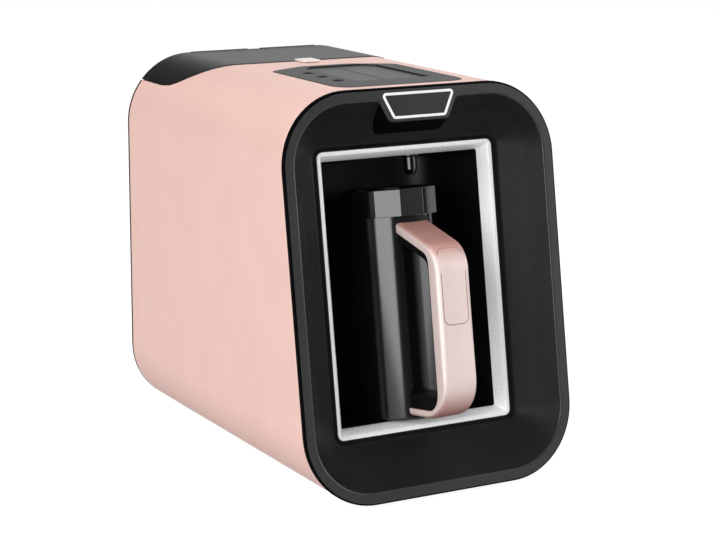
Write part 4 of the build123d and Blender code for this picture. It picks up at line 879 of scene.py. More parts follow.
spout = {
    "x": 15.0,
    "depth": 42.0,
    "flange": 7.0,
    "flangeThick": 1.4,
    "radius": 4.2,
    "drop": 13.0,
    "tip": 3.2,           # length of its narrowing end
    "tipRadius": 3.1,
    "bore": 1.6,
    "boreDepth": 6.0,
}
window = {"x": -20.0, "radius": 6.0, "bead": 1.2}
heater = {
    "depth": 54.0,
    "radius": 20.5,
    "rise": 0.2,
    "grooves": 5,
    "firstGroove": 3.5,
    "groovePitch": 3.4,
    "grooveHalf": 0.25,
    "grooveDepth": 0.12,
    "gasket": 1.6,
    "gasketRise": 0.12,
}


def hanging(x, depth):
    # a lathe's place under the ceiling, heights measured down from it
    return lambda a, b, h: nichePoint(x + a, depth + b, niche["height"] - h)


spoutProfile = roundedPath([
    (spout["flange"], -0.5), (spout["flange"], spout["flangeThick"], 0.6),
    (spout["radius"] + 0.25, spout["flangeThick"] + 0.5, 0.4),
    (spout["radius"], spout["drop"] - spout["tip"], 0.3), (spout["tipRadius"], spout["drop"], 0.7),
    (spout["bore"], spout["drop"], 0.3), (spout["bore"], spout["drop"] - spout["boreDepth"]),
], steps=4)
addPiece("spout", [lathe(spoutProfile, hanging(spout["x"], spout["depth"]), 40)],
         "gloss_black", ["water_nozzle"])
beadRadius = window["radius"] + window["bead"]
windowProfile = roundedPath([
    (beadRadius, -0.4), (beadRadius, 0.5, 0.3), (window["radius"] - 0.5, 0.9, 0.2),
    (window["radius"] - 0.9, 0.5, 0.2), (0, 0.4),
], steps=3)
addPiece("sensorWindow", [lathe(windowProfile, hanging(window["x"], spout["depth"]), 40)],
         "gloss_black", ["sensor_window"])


def onHeater(a, b, h):
    return nichePoint(a, heater["depth"] + b, h)


radius, rise = heater["radius"], heater["rise"]
plateProfile = [(0, rise)]
for i in range(heater["grooves"]):
    r = heater["firstGroove"] + i * heater["groovePitch"]
    plateProfile += [(r, rise), (r + heater["grooveHalf"], rise - heater["grooveDepth"]),
                     (r + 2 * heater["grooveHalf"], rise)]
plateProfile += roundedPath([(radius - 1.5, rise), (radius, rise, 0.4), (radius, -2)], 4)[1:]
addPiece("heaterPlate", [lathe(plateProfile, onHeater)], "heater_steel", ["heater_plate"])
gasketIn, gasketOut, top = radius + 0.05, radius + heater["gasket"], heater["gasketRise"]
gasketProfile = roundedPath([
    (gasketIn, -0.6), (gasketIn, top, 0.2), (gasketOut, top, 0.3), (gasketOut, -0.6),
], steps=3)
addPiece("heaterGasket", [lathe(gasketProfile, onHeater)], "silicone_clear", ["heater_gasket"])
print("niche built")

# pot: turned body, twelve-sided collar
pot = {
    "depth": 47.0,
    "radius": 29.3,
    "wall": 1.4,
    "floor": 3.0,
    "bottom": 0.6,
    "clearance": 22.0,       # how much shorter than the niche it is
    "footRing": 5.0,         # width of the ring that it stands on
    "footHollow": 0.5,
    "footRound": 1.6,
    "innerRound": 3.0,
    "collarRadius": 30.9,    # across the corners
    "collarSides": 12,
    "collarCorner": 0.8,
    "collarHeight": 17.0,
    "collarRise": 1.0,
    "mouth": 27.3,
}
pot["height"] = niche["height"] - pot["clearance"]
pot["rim"] = pot["bottom"] + pot["height"]
pot["collarSeat"] = pot["rim"] + pot["collarRise"] - pot["collarHeight"]


def potPoint(x, d, h):
    return nichePoint(x, pot["depth"] + d, h)


radius, inside = pot["radius"], pot["radius"] - pot["wall"]
low, floor = pot["bottom"], pot["bottom"] + pot["floor"]
footIn, hollow = radius - pot["footRing"], low + pot["footHollow"]
potProfile = [(0, hollow), (footIn - 1, hollow)]
potProfile += roundedPath([
    (footIn - 0.5, hollow), (footIn, low, 0.3), (radius, low, pot["footRound"]),
    (radius, pot["rim"], 0.5), (inside, pot["rim"], 0.5), (inside, floor, pot["innerRound"]),
    (0, floor),
], steps=5)
addPiece("potBody", [lathe(potProfile, potPoint, 96)], "pot_black", ["pot_body"], "pot")


def collarLoop(inset):
    reach = pot["collarRadius"] - inset / math.cos(math.pi / pot["collarSides"])
    corners = []
    for i in range(pot["collarSides"]):
        a = 2 * math.pi * (i + 0.5) / pot["collarSides"]
        corners.append((reach * math.cos(a), reach * math.sin(a), pot["collarCorner"]))
    return roundedPath(corners, steps=2, closed=True)


def collarMesh():
    seat, top = pot["collarSeat"], pot["rim"] + pot["collarRise"]
    rings = []
    for inset, h in ((0.9, seat), (0.25, seat), (0.06, seat + 0.1), (0, seat + 0.3),
                     (0, top - 0.7), (0.1, top - 0.35), (0.35, top - 0.1), (0.7, top)):
        rings.append([potPoint(p.x, p.y, h) for p in collarLoop(inset)])
    mouth = pot["mouth"]
    for r, h in ((mouth + 0.5, top), (mouth + 0.15, top - 0.15), (mouth, top - 0.5),
                 (mouth, pot["rim"]), (inside, pot["rim"])):
        rings.append([potPoint(*(p.normalized() * r), h) for p in collarLoop(0)])
    return [bridge(rings)]


addPiece("potCollar", collarMesh(), "gloss_black", ["pot_collar"], "pot", sharp=20.0)

# handle: rose shell with soft edges and a thumb inset, black core and saddles
handle = {
    "half": 11.7,
    "gripOuter": 72.8,
    "gripInner": 63.0,
    "gripCore": 61.0,
    "slope": math.tan(math.radians(20.4)),
    "meet": 29.9,           # the arms end on a cylinder just inside the saddles' faces
    "armDrop": 1.3,         # of the arm's upper edge below the collar
    "armDropAt": 23.3,      # the distance from the axis where that is measured
    "armThick": 7.0,
    "armCore": 5.0,
    "footLow": 3.3,
    "footThick": 5.2,
    "footCore": 8.5,
    "edgeRound": 2.6,
    "crown": 0.35,
    "crease": 9.9,          # from the middle to the fine line along each edge
    "creaseDepth": 0.22,
    "saddleHalf": 13.6,
    "saddleGap": 0.2,       # between the upper saddle and the collar
    "saddleFoot": 1.5,      # how far the lower saddle reaches below the handle
    "saddleLength": 14.0,
    "saddleCorner": 5.5,
    "saddleWall": 1.2,
    "insetHalf": 8.2,
    "insetCorner": 4.0,
    "insetDrop": 18.3,      # of the inset's upper end below the arm's upper edge
    "insetLength": 45.5,    # measured upright
    "insetProud": 0.16,
    "insetSkirt": 0.5,      # how far its edge turns down
    "seam": 0.5,            # width of the dark strip round it, painted shade for the seam
    "seamProud": 0.02,
    "seamSkirt": 0.3,
    "coreInset": 0.6,       # of the core's sides from the shell's
    "outerBends": (18.7, 25.0),
    "innerBends": (8.0, 12.0),
    "coreBends": (7.0, 6.0),
    "armSteps": 10,
    "bendSteps": 14,
    "gripSteps": 26,
    "footSteps": 8,
}


def between(a, b, steps):
    return [a.lerp(b, i / steps) for i in range(1, steps)]


def handleRun(reach, top, low, bends):
    # side view of one edge of the handle: x from the pot's axis, y above the niche floor
    arcs = roundedPath([
        (-handle["meet"], top),
        (-reach, top - handle["slope"] * (reach - handle["meet"]), bends[0]),
        (-reach, low, bends[1]), (-handle["meet"], low),
    ], steps=handle["bendSteps"])
    n = handle["bendSteps"] + 2
    upper, lower = arcs[1:n], arcs[n:-1]
    return [
        arcs[0], *between(arcs[0], upper[0], handle["armSteps"]), *upper,
        *between(upper[-1], lower[0], handle["gripSteps"]), *lower,
        *between(lower[-1], arcs[-1], handle["footSteps"]), arcs[-1],
    ]


armEdge = pot["collarSeat"] - handle["armDrop"]
armTop = armEdge - handle["slope"] * (handle["meet"] - handle["armDropAt"])
innerTop = armTop - handle["armThick"]
innerLow = handle["footLow"] + handle["footThick"]
outerRun = handleRun(handle["gripOuter"], armTop, handle["footLow"], handle["outerBends"])
innerRun = handleRun(handle["gripInner"], innerTop, innerLow, handle["innerBends"])
coreRun = handleRun(handle["gripCore"], innerTop - handle["armCore"],
                    innerLow + handle["footCore"], handle["coreBends"])


def gripSection(thick):
    # half of the section, from the middle of the front to the middle of the back
    c, deep = handle["crease"], handle["creaseDepth"]
    half, soft, crown = handle["half"], handle["edgeRound"], handle["crown"]
    section = [(w, crown * (w / c) ** 2) for w in (0, 2.5, 5, 7.5, c - 0.35)]
    section += [(c - 0.05, crown + deep), (c + 0.2, crown + deep * 0.9)]
    for i in range(1, 7):
        a = math.radians(20 + 70 * i / 6)
        section.append((half - soft + soft * math.sin(a), crown + soft * (1 - math.cos(a))))
    section += [(half, thick * 0.6), (half, thick - 0.7), (half - 0.2, thick - 0.2),
                (half - 0.7, thick), (0, thick)]
    return section


def coreSection(thick):
    half = handle["half"] - handle["coreInset"]
    return [(0, 0), (half - 0.3, 0), (half, 0.3), (half, thick * 0.5), (half, thick - 1.4),
            (half - 0.4, thick - 0.5), (half - 1.3, thick), (0, thick)]


def sweepBand(outer, inner, section):
    rings = []
    for k, (o, i) in enumerate(zip(outer, inner)):
        along = outer[1] - outer[0] if k == 0 else outer[-2] - outer[-1]
        across = i - o
        thick = across.length
        across.normalize()
        halfRing = section(thick)
        ring = halfRing + [(-w, t) for w, t in halfRing[-2:0:-1]]
        points = []
        for w, t in ring:
            p = o + across * t
            if k in (0, len(outer) - 1):     # the end is cut to the round wall of the pot
                p += along * ((-math.sqrt(handle["meet"] ** 2 - w ** 2) - p.x) / along.x)
            points.append(potPoint(w, p.x, p.y))
        rings.append(points)
    return bridge(rings, capFirst=True, capLast=True)


def saddleMesh(low):
    # pad wrapped on the pot's wall: an outline in (across, up), bent round the axis
    half, length, wall = handle["saddleHalf"], handle["saddleLength"], handle["saddleWall"]
    rings = []
    for inset, lift in ((0, -0.2), (0, wall - 0.5), (0.15, wall - 0.15), (0.5, wall), (3, wall),
                        (5.4, wall)):
        corner = max(handle["saddleCorner"] - inset, 0.1)
        loop = roundedLoop(half - inset, length / 2 - inset, corner, low + length / 2, 8, 8)
        reach = pot["radius"] + lift
        rings.append([
            potPoint(reach * math.sin(p.x / pot["radius"]),
                     -reach * math.cos(p.x / pot["radius"]), p.y) for p in loop
        ])
    return bridge(rings)


# the shell's finish carries painted sheen on its front and painted shade on its arms
addPiece("handleShell", [sweepBand(outerRun, innerRun, gripSection)], "rose_grip",
         ["handle_shell"], "pot", sharp=30.0)
addPiece("handleCore", [
    sweepBand(innerRun, coreRun, coreSection),
    saddleMesh(pot["collarSeat"] - handle["saddleGap"] - handle["saddleLength"]),
    saddleMesh(handle["footLow"] - handle["saddleFoot"]),
], "grip_core", ["handle_core"], "pot")


def alongOuter():
    # the outer run with its length and outward direction
    rows, total = [], 0.0
    for k, p in enumerate(outerRun):
        if k:
            total += (p - outerRun[k - 1]).length
        ahead = outerRun[min(k + 1, len(outerRun) - 1)] - outerRun[max(k - 1, 0)]
        out = Vector((ahead.y, -ahead.x)).normalized()
        rows.append((total, p, out))
    return rows


def outerAt(rows, s):
    for (sa, pa, na), (sb, pb, nb) in zip(rows, rows[1:]):
        if sa <= s <= sb:
            t = (s - sa) / max(sb - sa, 1e-9)
            return pa.lerp(pb, t), na.lerp(nb, t).normalized()
    return rows[-1][1], rows[-1][2]


def lengthAtHeight(height):
    rows = alongOuter()
    for (sa, pa, _), (sb, pb, _) in zip(rows, rows[1:]):
        if pa.y >= height >= pb.y:
            return sa + (sb - sa) * (pa.y - height) / max(pa.y - pb.y, 1e-9)
    return 0.0


def thumbPad(grow, lift, skirt):
    # sheet on the outer run, with round ends and its edge turned down by the skirt
    start, stop = insetStart - grow, insetStop + grow
    half, corner = handle["insetHalf"] + grow, handle["insetCorner"] + grow
    rows = alongOuter()
    turned = [corner * (1 - math.cos(math.radians(10 * i))) for i in range(10)]
    middle = [start + corner + (stop - start - 2 * corner) * i / 16 for i in range(17)]
    stations = sorted({start + t for t in turned} | {stop - t for t in turned} | set(middle))
    rings = []
    shares = [-1, -1, -0.985, -0.94, -0.6, -0.3, 0, 0.3, 0.6, 0.94, 0.985, 1, 1]
    for s in stations:
        p, out = outerAt(rows, s)
        end = min(s - start, stop - s)
        width = half
        if end < corner:
            width = half - corner + math.sqrt(max(corner ** 2 - (corner - end) ** 2, 0))
        ring = []
        for k, share in enumerate(shares):
            w = share * width
            rise = lift - handle["crown"] * (w / handle["crease"]) ** 2
            if k in (0, len(shares) - 1):
                rise -= skirt
            elif abs(share) == 1:
                rise -= min(0.12, lift * 0.6)
            if s in (stations[0], stations[-1]):
                rise -= skirt
            q = p + out * rise
            ring.append(potPoint(w, q.x, q.y))
        rings.append(ring)
    return bridge(rings, closed=False)


insetTop = armEdge - handle["insetDrop"]
insetStart = lengthAtHeight(insetTop)
insetStop = lengthAtHeight(insetTop - handle["insetLength"])
addPiece("thumbInset", [thumbPad(0, handle["insetProud"], handle["insetSkirt"])], "rose_grip",
         ["handle_inset"], "pot", sharp=25.0)
# painted shade: a thin dark strip just proud of the shell stands in for the shaded seam round the
# inset
addPiece("thumbSeamShade", [thumbPad(handle["seam"], handle["seamProud"], handle["seamSkirt"])],
         "rose_seam_painted_shade", body="pot")
print("pot and handle built")

# top panel with its recess, two keys and three smoked lamps
keys = {
    "left": -20.0,
    "seam": 4.5,
    "right": 32.0,
    "front": 80.0,
    "rear": 156.0,
    "cut": 7.5,          # cut-off back corners of the recess
    "gap": 0.35,
    "drop": 1.1,
    "thick": 1.7,
    "dish": 0.25,        # the keys are a little hollow
}
lamps = {
    "x": -29.5,
    "first": 88.0,
    "pitch": 19.75,
    "count": 3,
    "half": 3.2,
    "corner": 0.7,
    "drop": 1.2,
    "deep": 2.5,         # how far the lenses' sides go down
}
topZ = housing["height"] + panel["proud"]


def level(loop, z):
    return [bodyPoint(p.x, p.y, z) for p in loop]


def insetLoop(loop, distance):
    # moves a closed loop inward by a small distance
    area = sum(a.x * b.y - b.x * a.y for a, b in zip(loop, loop[1:] + loop[:1]))
    side = 1 if area > 0 else -1
    moved = []
    for i, p in enumerate(loop):
        back, ahead = p - loop[i - 1], loop[(i + 1) % len(loop)] - p
        n = Vector((-back.y, back.x)).normalized() + Vector((-ahead.y, ahead.x)).normalized()
        n.normalize()
        stretchBy = max(n.dot(Vector((-ahead.y, ahead.x)).normalized()), 0.5)
        moved.append(p + n * (side * distance / stretchBy))
    return moved


def keyLoop(left, right, gap, cutLeft, cutRight):
    front, rear, cut = keys["front"] + gap, keys["rear"] - gap, keys["cut"]
    low, high = left + gap, right - gap
    corners = [(low, front, 1.0), (high, front, 1.0)]
    corners += [(high, rear - cut, 1.5), (high - cut, rear, 1.5)] if cutRight else [
        (high, rear, 1.0)]
    corners += [(low + cut, rear, 1.5), (low, rear - cut, 1.5)] if cutLeft else [
        (low, rear, 1.0)]
    return roundedPath(corners, steps=4, closed=True)


def lampLoop(i, grow):
    y = lamps["first"] + lamps["pitch"] * i
    half = lamps["half"] + grow
    loop = roundedLoop(half, half, lamps["corner"], y, 4, 0)
    return [Vector((p.x + lamps["x"], p.y)) for p in loop]


def panelMesh():
    edge = [(0.35, -panel["thick"]), (0.35, -0.45), (0.42, -0.2), (0.6, -0.05), (0.85, 0)]
    parts = [bridge([level(panelLoop(gap), topZ + z) for gap, z in edge])]
    walls = [[keyLoop(keys["left"], keys["right"], g, True, True) for g in (-0.3, -0.1, 0, 0)]]
    for i in range(lamps["count"]):
        walls.append([lampLoop(i, g) for g in (0.25, 0.1, 0.05, 0.05)])
    outline = panelLoop(edge[-1][0])
    parts.append(fillFlat([level(loop, topZ) for loop in [outline] + [w[0] for w in walls]]))
    for loops in walls:
        parts.append(bridge([
            level(loop, topZ + z) for loop, z in zip(loops, (0, -0.1, -0.35, -panel["thick"]))
        ]))
    return parts


def keyMesh(left, right, cutLeft, cutRight):
    top = topZ - keys["drop"]
    rings = []
    for inset, z in ((0, -keys["thick"]), (0, -0.5), (0.06, -0.2), (0.25, -0.03), (0.5, 0),
                     (1.2, -0.03), (2.4, -0.1), (4.0, -0.2), (5.6, -keys["dish"])):
        loop = keyLoop(left, right, keys["gap"] + inset, cutLeft, cutRight)
        rings.append(level(loop, top + z))
    return [bridge(rings, capFirst=True, capLast=True)]


addPiece("topPanel", panelMesh(), "panel_grey", ["control_panel"])
addPiece("keyLeft", keyMesh(keys["left"], keys["seam"], True, False), "key_grey",
         ["key_left"], "left_key")
addPiece("keyRight", keyMesh(keys["seam"], keys["right"], False, True), "key_grey",
         ["key_right"], "right_key")
lampParts = []
for i in range(lamps["count"]):
    rings = [level(lampLoop(i, g), topZ - lamps["drop"] + z) for g, z in (
        (0, -lamps["deep"]), (0, -0.3), (-0.1, -0.08), (-0.35, 0), (-0.8, 0.06))]
    lampParts.append(bridge(rings, capLast=True))
addPiece("lampLenses", lampParts, "lamp_lens", ["indicator_lenses"])
print("panel and keys built")

# tank lid: a curved sheet that follows the housing, with a rear roll and hinge barrels
lid = {
    "proud": 0.5,
    "thick": 2.0,
    "seam": 0.6,
    "rear": 267.1,
    "rearRound": 2.0,
    "wall": 2.0,
    "wallStart": 61.5,
    "hingeY": 264.1,
    "hingeZ": 243.0,
    "hingeRadius": 3.0,
    "pinRadius": 1.3,
    "hingeHalf": 48.0,
    "notch": 4.75,       # half the gap for the tank's hinge ear
    "notchDepth": 6.6,
    "grooveBack": 9.0,   # fine line across the lid, from its rear
    "grooveWidth": 0.9,
    "grooveDepth": 0.45,
    "flatColumns": (40.0, 30.0, 20.0, 10.0),    # from the middle, across the flat top
}
lidEdge = sleeve["lidEdge"] + lid["seam"]
lidTab = {"half": 6.5, "front": 177.1, "rear": 191.1, "corner": 1.3, "low": 245.35, "thick": 1.3}


def lidColumns():
    # the housing's columns above the lid's edge, with more across the flat top
    picked = [c for c in shellColumns(lidEdge, lid["proud"], 30, 0)
              if columnPoint(c, -lid["proud"])[1] >= lidEdge - hair]
    half = len(picked) // 2
    right = (*lid["flatColumns"], lid["notch"] + 0.05, lid["notch"] - 0.05)
    places = [*right, 0, *[-x for x in right[::-1]]]
    flat = [(x, picked[half - 1][1], math.radians(90)) for x in places]
    return picked[:half] + flat + picked[half:]


def lidSurface(column, inset):
    x, z = columnPoint(column, inset)
    if z < lidEdge:
        cx, cz, a = column
        reach = housing["corner"] - inset
        z = lidEdge
        x = cx + math.copysign(math.sqrt(reach ** 2 - (lidEdge - cz) ** 2), math.cos(a))
    return x, z


def lidRows(outside, inside):
    # each row: from the front edge or None, from the rear, outer inset, inner inset
    groove, wide, roll = lid["grooveBack"], lid["grooveWidth"], lid["rearRound"]
    deep = outside + lid["grooveDepth"]
    rows = [
        (0, None, outside + 0.7, inside - 0.2), (0.2, None, outside + 0.2, inside),
        (0.7, None, outside, inside), (6, None, outside, inside),
    ]
    rows += [(None, back, inset, inside) for back, inset in (
        (groove + wide, outside), (groove + wide - 0.15, outside + 0.12),
        (groove + wide - 0.25, deep), (groove + 0.25, deep),
        (groove + 0.15, outside + 0.12), (groove, outside),
        (lid["notchDepth"], outside),
    )]
    for i in range(7):
        a = math.radians(90 * i / 6)
        rows.append((None, roll * (1 - math.sin(a)), outside + roll * (1 - math.cos(a)), inside))
    return rows


def lidSkin(columns, outside, inside):
    rings = []
    for ahead, behind, outer, inner in lidRows(outside, inside):
        chain = []
        for inset, order in ((outer, columns), (inner, columns[::-1])):
            for column in order:
                x, z = lidSurface(column, inset)
                first = lidEdgeAt(lidSurface(column, outside if inset == outer else inside)[1],
                                  lid["seam"])
                last = lid["rear"] - (lid["notchDepth"] if abs(x) < lid["notch"] else 0)
                y = first + ahead if behind is None else min(lid["rear"] - behind, last)
                if inset == outer and column in (columns[0], columns[-1]):
                    x -= math.copysign(0.15, x)
                chain.append(bodyPoint(x, max(y, first), z))
        rings.append(chain)
    points, faces = bridge(rings)
    n = len(columns)
    for start in (0, (len(rings) - 1) * 2 * n):     # the edges between the two skins
        for k in range(n - 1):
            faces.append((start + k, start + k + 1, start + 2 * n - 2 - k, start + 2 * n - 1 - k))
    return points, faces


def lidMesh():
    columns = lidColumns()
    outside, inside = -lid["proud"], lid["thick"] - lid["proud"]
    skin = inside - 0.2
    parts = [lidSkin(columns, outside, inside)]
    side = housing["width"] / 2 - housing["corner"]
    shoulder = housing["height"] - housing["corner"]
    wallTurn = math.acos((lid["wallStart"] - side) / (housing["corner"] - skin))
    for sx in (1, -1):           # walls that close the sides at the rear, and hinge barrels
        curve = [lidSurface(c, skin) for c in columns if sx * lidSurface(c, 0)[0] > 0]
        curve = sorted((p for p in curve if abs(p[0]) > lid["wallStart"]), key=lambda p: p[1])
        start = sx * lid["wallStart"]
        top = columnPoint((sx * side, shoulder, wallTurn), skin)[1]
        loops = [
            [bodyPoint(x, lid["rear"] - d, z) for x, z in curve + [(start, top), (start, lidEdge)]]
            for d in (0.25, lid["wall"])
        ]
        parts += [fillFlat([loops[0]]), fillFlat([loops[1]]), bridge(loops)]

        def barrel(a, b, h, sx=sx):
            return bodyPoint(sx * h, lid["hingeY"] + a, lid["hingeZ"] + b)

        profile = roundedPath([
            (lid["pinRadius"], lid["notch"] + 0.2), (lid["hingeRadius"], lid["notch"] + 0.2, 0.5),
            (lid["hingeRadius"], lid["hingeHalf"], 0.8), (0, lid["hingeHalf"]),
        ], steps=4)
        parts.append(lathe(profile, barrel, 32))
    return parts


addPiece("tankLid", lidMesh(), "lid_grey", ["tank_lid"], "tank_lid")
tabLoop = roundedLoop(
    lidTab["half"], (lidTab["rear"] - lidTab["front"]) / 2, lidTab["corner"],
    (lidTab["rear"] + lidTab["front"]) / 2, 8, 2,
)
thick = lidTab["thick"]
tabRings = [
    level(insetLoop(tabLoop, inset), lidTab["low"] + z) for inset, z in (
        (1.2, 0), (0.5, 0), (0.15, 0.1), (0, 0.4), (0, thick - 0.5), (0.12, thick - 0.2),
        (0.5, thick), (1.2, thick),
    )
]
addPiece("lidTab", [bridge(tabRings, capFirst=True, capLast=True)], "rose_tab", ["lid_tab"],
         "tank_lid")
print("lid built")

# rear cover with vents, cord bush and feet
cover = {
    "rear": 267.1,
    "thick": 2.4,
    "top": 228.3,
    "screwX": 66.0,
    "screwRows": (74.0, 206.0),
    "screwHole": 1.7,
}
vents = {"count": 7, "length": 52.0, "width": 2.6, "pitch": 7.0, "z": 96.0}
bush = {
    "x": 62.0,
    "z": 22.0,
    "radius": 8.0,
    "bore": 3.4,
    "face": 2.2,
    "neck": 5.4,
    "neckLength": 4.0,
    "hole": 5.6,         # in the cover
    "inside": 10.0,      # how deep the bore can be seen
}


def coverLoop(inset):
    loop = []
    for column in shellColumns(cover["top"], 0.0, 18, 2):
        x, z = columnPoint(column, inset)
        if columnPoint(column, 0)[1] <= cover["top"] + hair:
            loop.append(Vector((x, min(z, cover["top"] - inset))))
    return loop


def rearRing(loop, depth):      # depth inward from the cover's outer face
    return [bodyPoint(p.x, cover["rear"] - depth, p.y) for p in loop]


def coverMesh():
    # the loop starts in the lower right corner, so that its ends meet across the lid's edge
    edge = [(0, cover["thick"]), (0, 0.5), (0.06, 0.25), (0.25, 0.06), (0.5, 0)]
    parts = [bridge([rearRing(coverLoop(i), d) for i, d in edge])]
    walls = []
    for i in range(vents["count"]):
        z = vents["z"] + vents["pitch"] * (i - (vents["count"] - 1) / 2)
        walls.append([slotLoop(0, z, vents["length"] + 2 * g, vents["width"] + 2 * g)
                      for g in (0.3, 0.08, 0, 0)])
    walls.append([circleLoop(bush["x"], bush["z"], bush["hole"])] * 4)
    for x in (-cover["screwX"], cover["screwX"]):
        for z in cover["screwRows"]:
            walls.append([circleLoop(x, z, cover["screwHole"])] * 4)
    outline = coverLoop(edge[-1][0])
    parts.append(fillFlat([rearRing(loop, 0) for loop in [outline] + [w[0] for w in walls]]))
    for loops in walls:
        parts.append(bridge([
            rearRing(loop, d) for loop, d in zip(loops, (0, 0.08, 0.3, cover["thick"]))
        ]))
    return parts


addPiece("rearCover", coverMesh(), "front_black", ["rear_cover"])


def onBush(a, b, h):            # heights stand out of the cover's face
    return bodyPoint(bush["x"] + a, cover["rear"] + h, bush["z"] + b)


bore, face = bush["bore"], bush["face"]
bushProfile = roundedPath([
    (bush["neck"], -bush["neckLength"]), (bush["neck"], 0), (bush["radius"], 0, 0.2),
    (bush["radius"], face, 0.9), (bore + 1.6, face, 0.4), (bore, face - 0.9, 0.5),
    (bore, -bush["inside"]),
], steps=4)
addPiece("cordBush", [lathe(bushProfile, onBush, 48)], "rubber_black", ["cord_gland"])

feet = {
    "x": 34.0,
    "rows": (46.0, 228.0),
    "radius": 9.0,
    "low": 8.65,         # radius at the floor
    "dimple": 4.5,
    "dimpleTop": 1.6,    # below the underside of the housing
}
low, dimple = -housing["footHeight"], feet["dimple"]
footProfile = roundedPath([
    (feet["radius"], 0.3), (feet["low"], low, 0.5), (dimple, low, 0.5),
    (dimple - 0.6, -feet["dimpleTop"], 0.3), (0, -feet["dimpleTop"]),
], steps=4)
footParts = []
for x in (-feet["x"], feet["x"]):
    for y in feet["rows"]:
        footParts.append(lathe(
            footProfile, lambda a, b, h, x=x, y=y: bodyPoint(x + a, y + b, h), 40))
addPiece("rubberFeet", footParts, "rubber_black", ["rubber_feet"])
print("rear and feet built")

# camera, lamps, floor
camera = {
    "place": (-641.13, -1158.15, 411.52),
    "lens": 104.27,
    "sensor": 36.0,
    "yaw": -29.258,      # degrees
    "pitch": 12.544,
    "roll": 0.286,
}


def addCamera():
    data = bpy.data.cameras.new("camera")
    data.lens = camera["lens"]
    data.sensor_width = camera["sensor"]
    data.clip_start, data.clip_end = 0.05, 60.0
    obj = bpy.data.objects.new("camera", data)
    yaw, pitch, roll = (math.radians(camera[k]) for k in ("yaw", "pitch", "roll"))
    back = Vector((
        math.sin(yaw) * math.cos(pitch), -math.cos(yaw) * math.cos(pitch), math.sin(pitch),
    ))
    right = Vector((math.cos(yaw), math.sin(yaw), 0))
    up = back.cross(right)
    rolledRight = right * math.cos(roll) + up * math.sin(roll)
    rolledUp = up * math.cos(roll) - right * math.sin(roll)
    turn = Matrix((rolledRight, rolledUp, back)).transposed().to_4x4()
    obj.matrix_world = Matrix.Translation(Vector(camera["place"]) * mm) @ turn
    bpy.context.scene.collection.objects.link(obj)
    bpy.context.scene.camera = obj


softboxes = {            # metres and watts
    "softFront": {"place": (-1.54, -1.57, 0.5), "aim": (0, 0, 0.15), "size": (1.55, 0.85),
                  "power": 29},
    "softLeft": {"place": (-1.6, -0.3, 1.4), "aim": (0, 0, 0.15), "size": (1.0, 0.9),
                 "power": 20.5},
    "softRight": {"place": (1.68, -0.9, 0.5), "aim": (0, -0.05, 0.12), "size": (1.6, 0.9),
                  "power": 13},
    "softTop": {"place": (0.1, 0.3, 1.8), "aim": (0, 0, 0.2), "size": (1.2, 1.0), "power": 8},
}


def addSoftbox(name, box):
    data = bpy.data.lights.new(name, "AREA")
    data.shape = "RECTANGLE"
    data.size, data.size_y = box["size"]
    data.energy = box["power"]
    obj = bpy.data.objects.new(name, data)
    obj.location = box["place"]
    toward = Vector(box["aim"]) - Vector(box["place"])
    obj.rotation_euler = toward.to_track_quat("-Z", "Y").to_euler()
    bpy.context.scene.collection.objects.link(obj)


studio = {
    "worldLight": 0.3,
    "sweepDark": 0.1,     # what gloss sees between the pale sides
    "sweepPale": 1.0,
    "paleSides": (        # direction, and how far along it the paper starts and is full
        ((0.95, 0.12, 0.0), 0.25, 0.48), ((-0.99, -0.1, 0.0), 0.86, 0.95),
        ((0.0, 0.0, 1.0), 0.55, 0.8),
    ),
    "floorColour": 0.34,
    "floorLift": 0.88,    # for camera and clear parts, so that the paper reads white
    "floorShine": 0.6,    # the same for gloss
    "floorSize": 30.0,
}


def mathNode(tree, operation, a, b):
    return addNode(tree, "ShaderNodeMath", {0: a, 1: b}, operation).outputs["Value"]


def paleShare(tree, direction):
    # how far the direction of a ray lies inside one of the pale sides
    shares = []
    for toward, start, full in studio["paleSides"]:
        side = addNode(tree, "ShaderNodeVectorMath", {0: direction, 1: toward}, "DOT_PRODUCT")
        rise = addNode(tree, "ShaderNodeMapRange", {
            "Value": side.outputs["Value"], "From Min": start, "From Max": full,
        }, smooth=True)
        shares.append(rise.outputs["Result"])
    pale = shares[0]
    for share in shares[1:]:
        pale = mathNode(tree, "MAXIMUM", pale, share)
    return pale


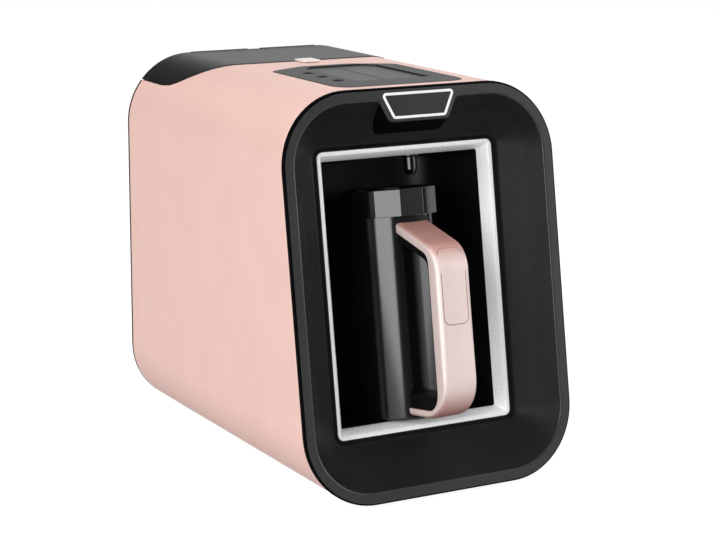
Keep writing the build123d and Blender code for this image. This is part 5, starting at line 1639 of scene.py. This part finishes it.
def addWorld():
    world = bpy.data.worlds.new("studio")
    bpy.context.scene.world = world
    world.use_nodes = True
    tree = world.node_tree
    tree.nodes.clear()
    path = addNode(tree, "ShaderNodeLightPath").outputs
    pale = paleShare(tree, addNode(tree, "ShaderNodeTexCoord").outputs["Generated"])
    raised = mathNode(tree, "MULTIPLY", pale, studio["sweepPale"] - studio["sweepDark"])
    sweep = mathNode(tree, "ADD", raised, studio["sweepDark"])
    shiny = mathNode(tree, "MAXIMUM", path["Is Glossy Ray"], path["Is Transmission Ray"])
    shineLight = mathNode(tree, "MULTIPLY", sweep, shiny)
    matte = mathNode(tree, "SUBTRACT", 1.0, shiny)
    matteLight = mathNode(tree, "MULTIPLY", matte, studio["worldLight"])
    light = mathNode(tree, "ADD", shineLight, matteLight)
    total = mathNode(tree, "MAXIMUM", light, path["Is Camera Ray"])
    paper = addNode(tree, "ShaderNodeBackground", {"Color": (1, 1, 1, 1), "Strength": total})
    addNode(tree, "ShaderNodeOutputWorld", {"Surface": paper.outputs["Background"]})


def addFloor():
    half = studio["floorSize"] / 2
    mesh = bpy.data.meshes.new("floor")
    corners = [(-half, -half, 0), (half, -half, 0), (half, half, 0), (-half, half, 0)]
    mesh.from_pydata(corners, [], [(0, 1, 2, 3)])
    mat = bpy.data.materials.new("floorPaper")
    mat.use_nodes = True
    tree = mat.node_tree
    tree.nodes.clear()
    path = addNode(tree, "ShaderNodeLightPath").outputs
    seen = mathNode(tree, "MAXIMUM", path["Is Camera Ray"], path["Is Transmission Ray"])
    lift = mathNode(tree, "MULTIPLY", seen, studio["floorLift"])
    shine = mathNode(tree, "MULTIPLY", path["Is Glossy Ray"], studio["floorShine"])
    glow = addNode(tree, "ShaderNodeEmission", {"Strength": mathNode(tree, "ADD", lift, shine)})
    colour = (*[studio["floorColour"]] * 3, 1)
    paper = addNode(tree, "ShaderNodeBsdfDiffuse", {"Color": colour})
    total = addNode(tree, "ShaderNodeAddShader", {
        0: paper.outputs["BSDF"], 1: glow.outputs["Emission"],
    })
    addNode(tree, "ShaderNodeOutputMaterial", {"Surface": total.outputs["Shader"]})
    mesh.materials.append(mat)
    obj = bpy.data.objects.new("floor", mesh)
    bpy.context.scene.collection.objects.link(obj)


addCamera()
addWorld()
addFloor()
for name, box in softboxes.items():
    addSoftbox(name, box)
bpy.context.scene.view_settings.view_transform = "Standard"
print("studio set")
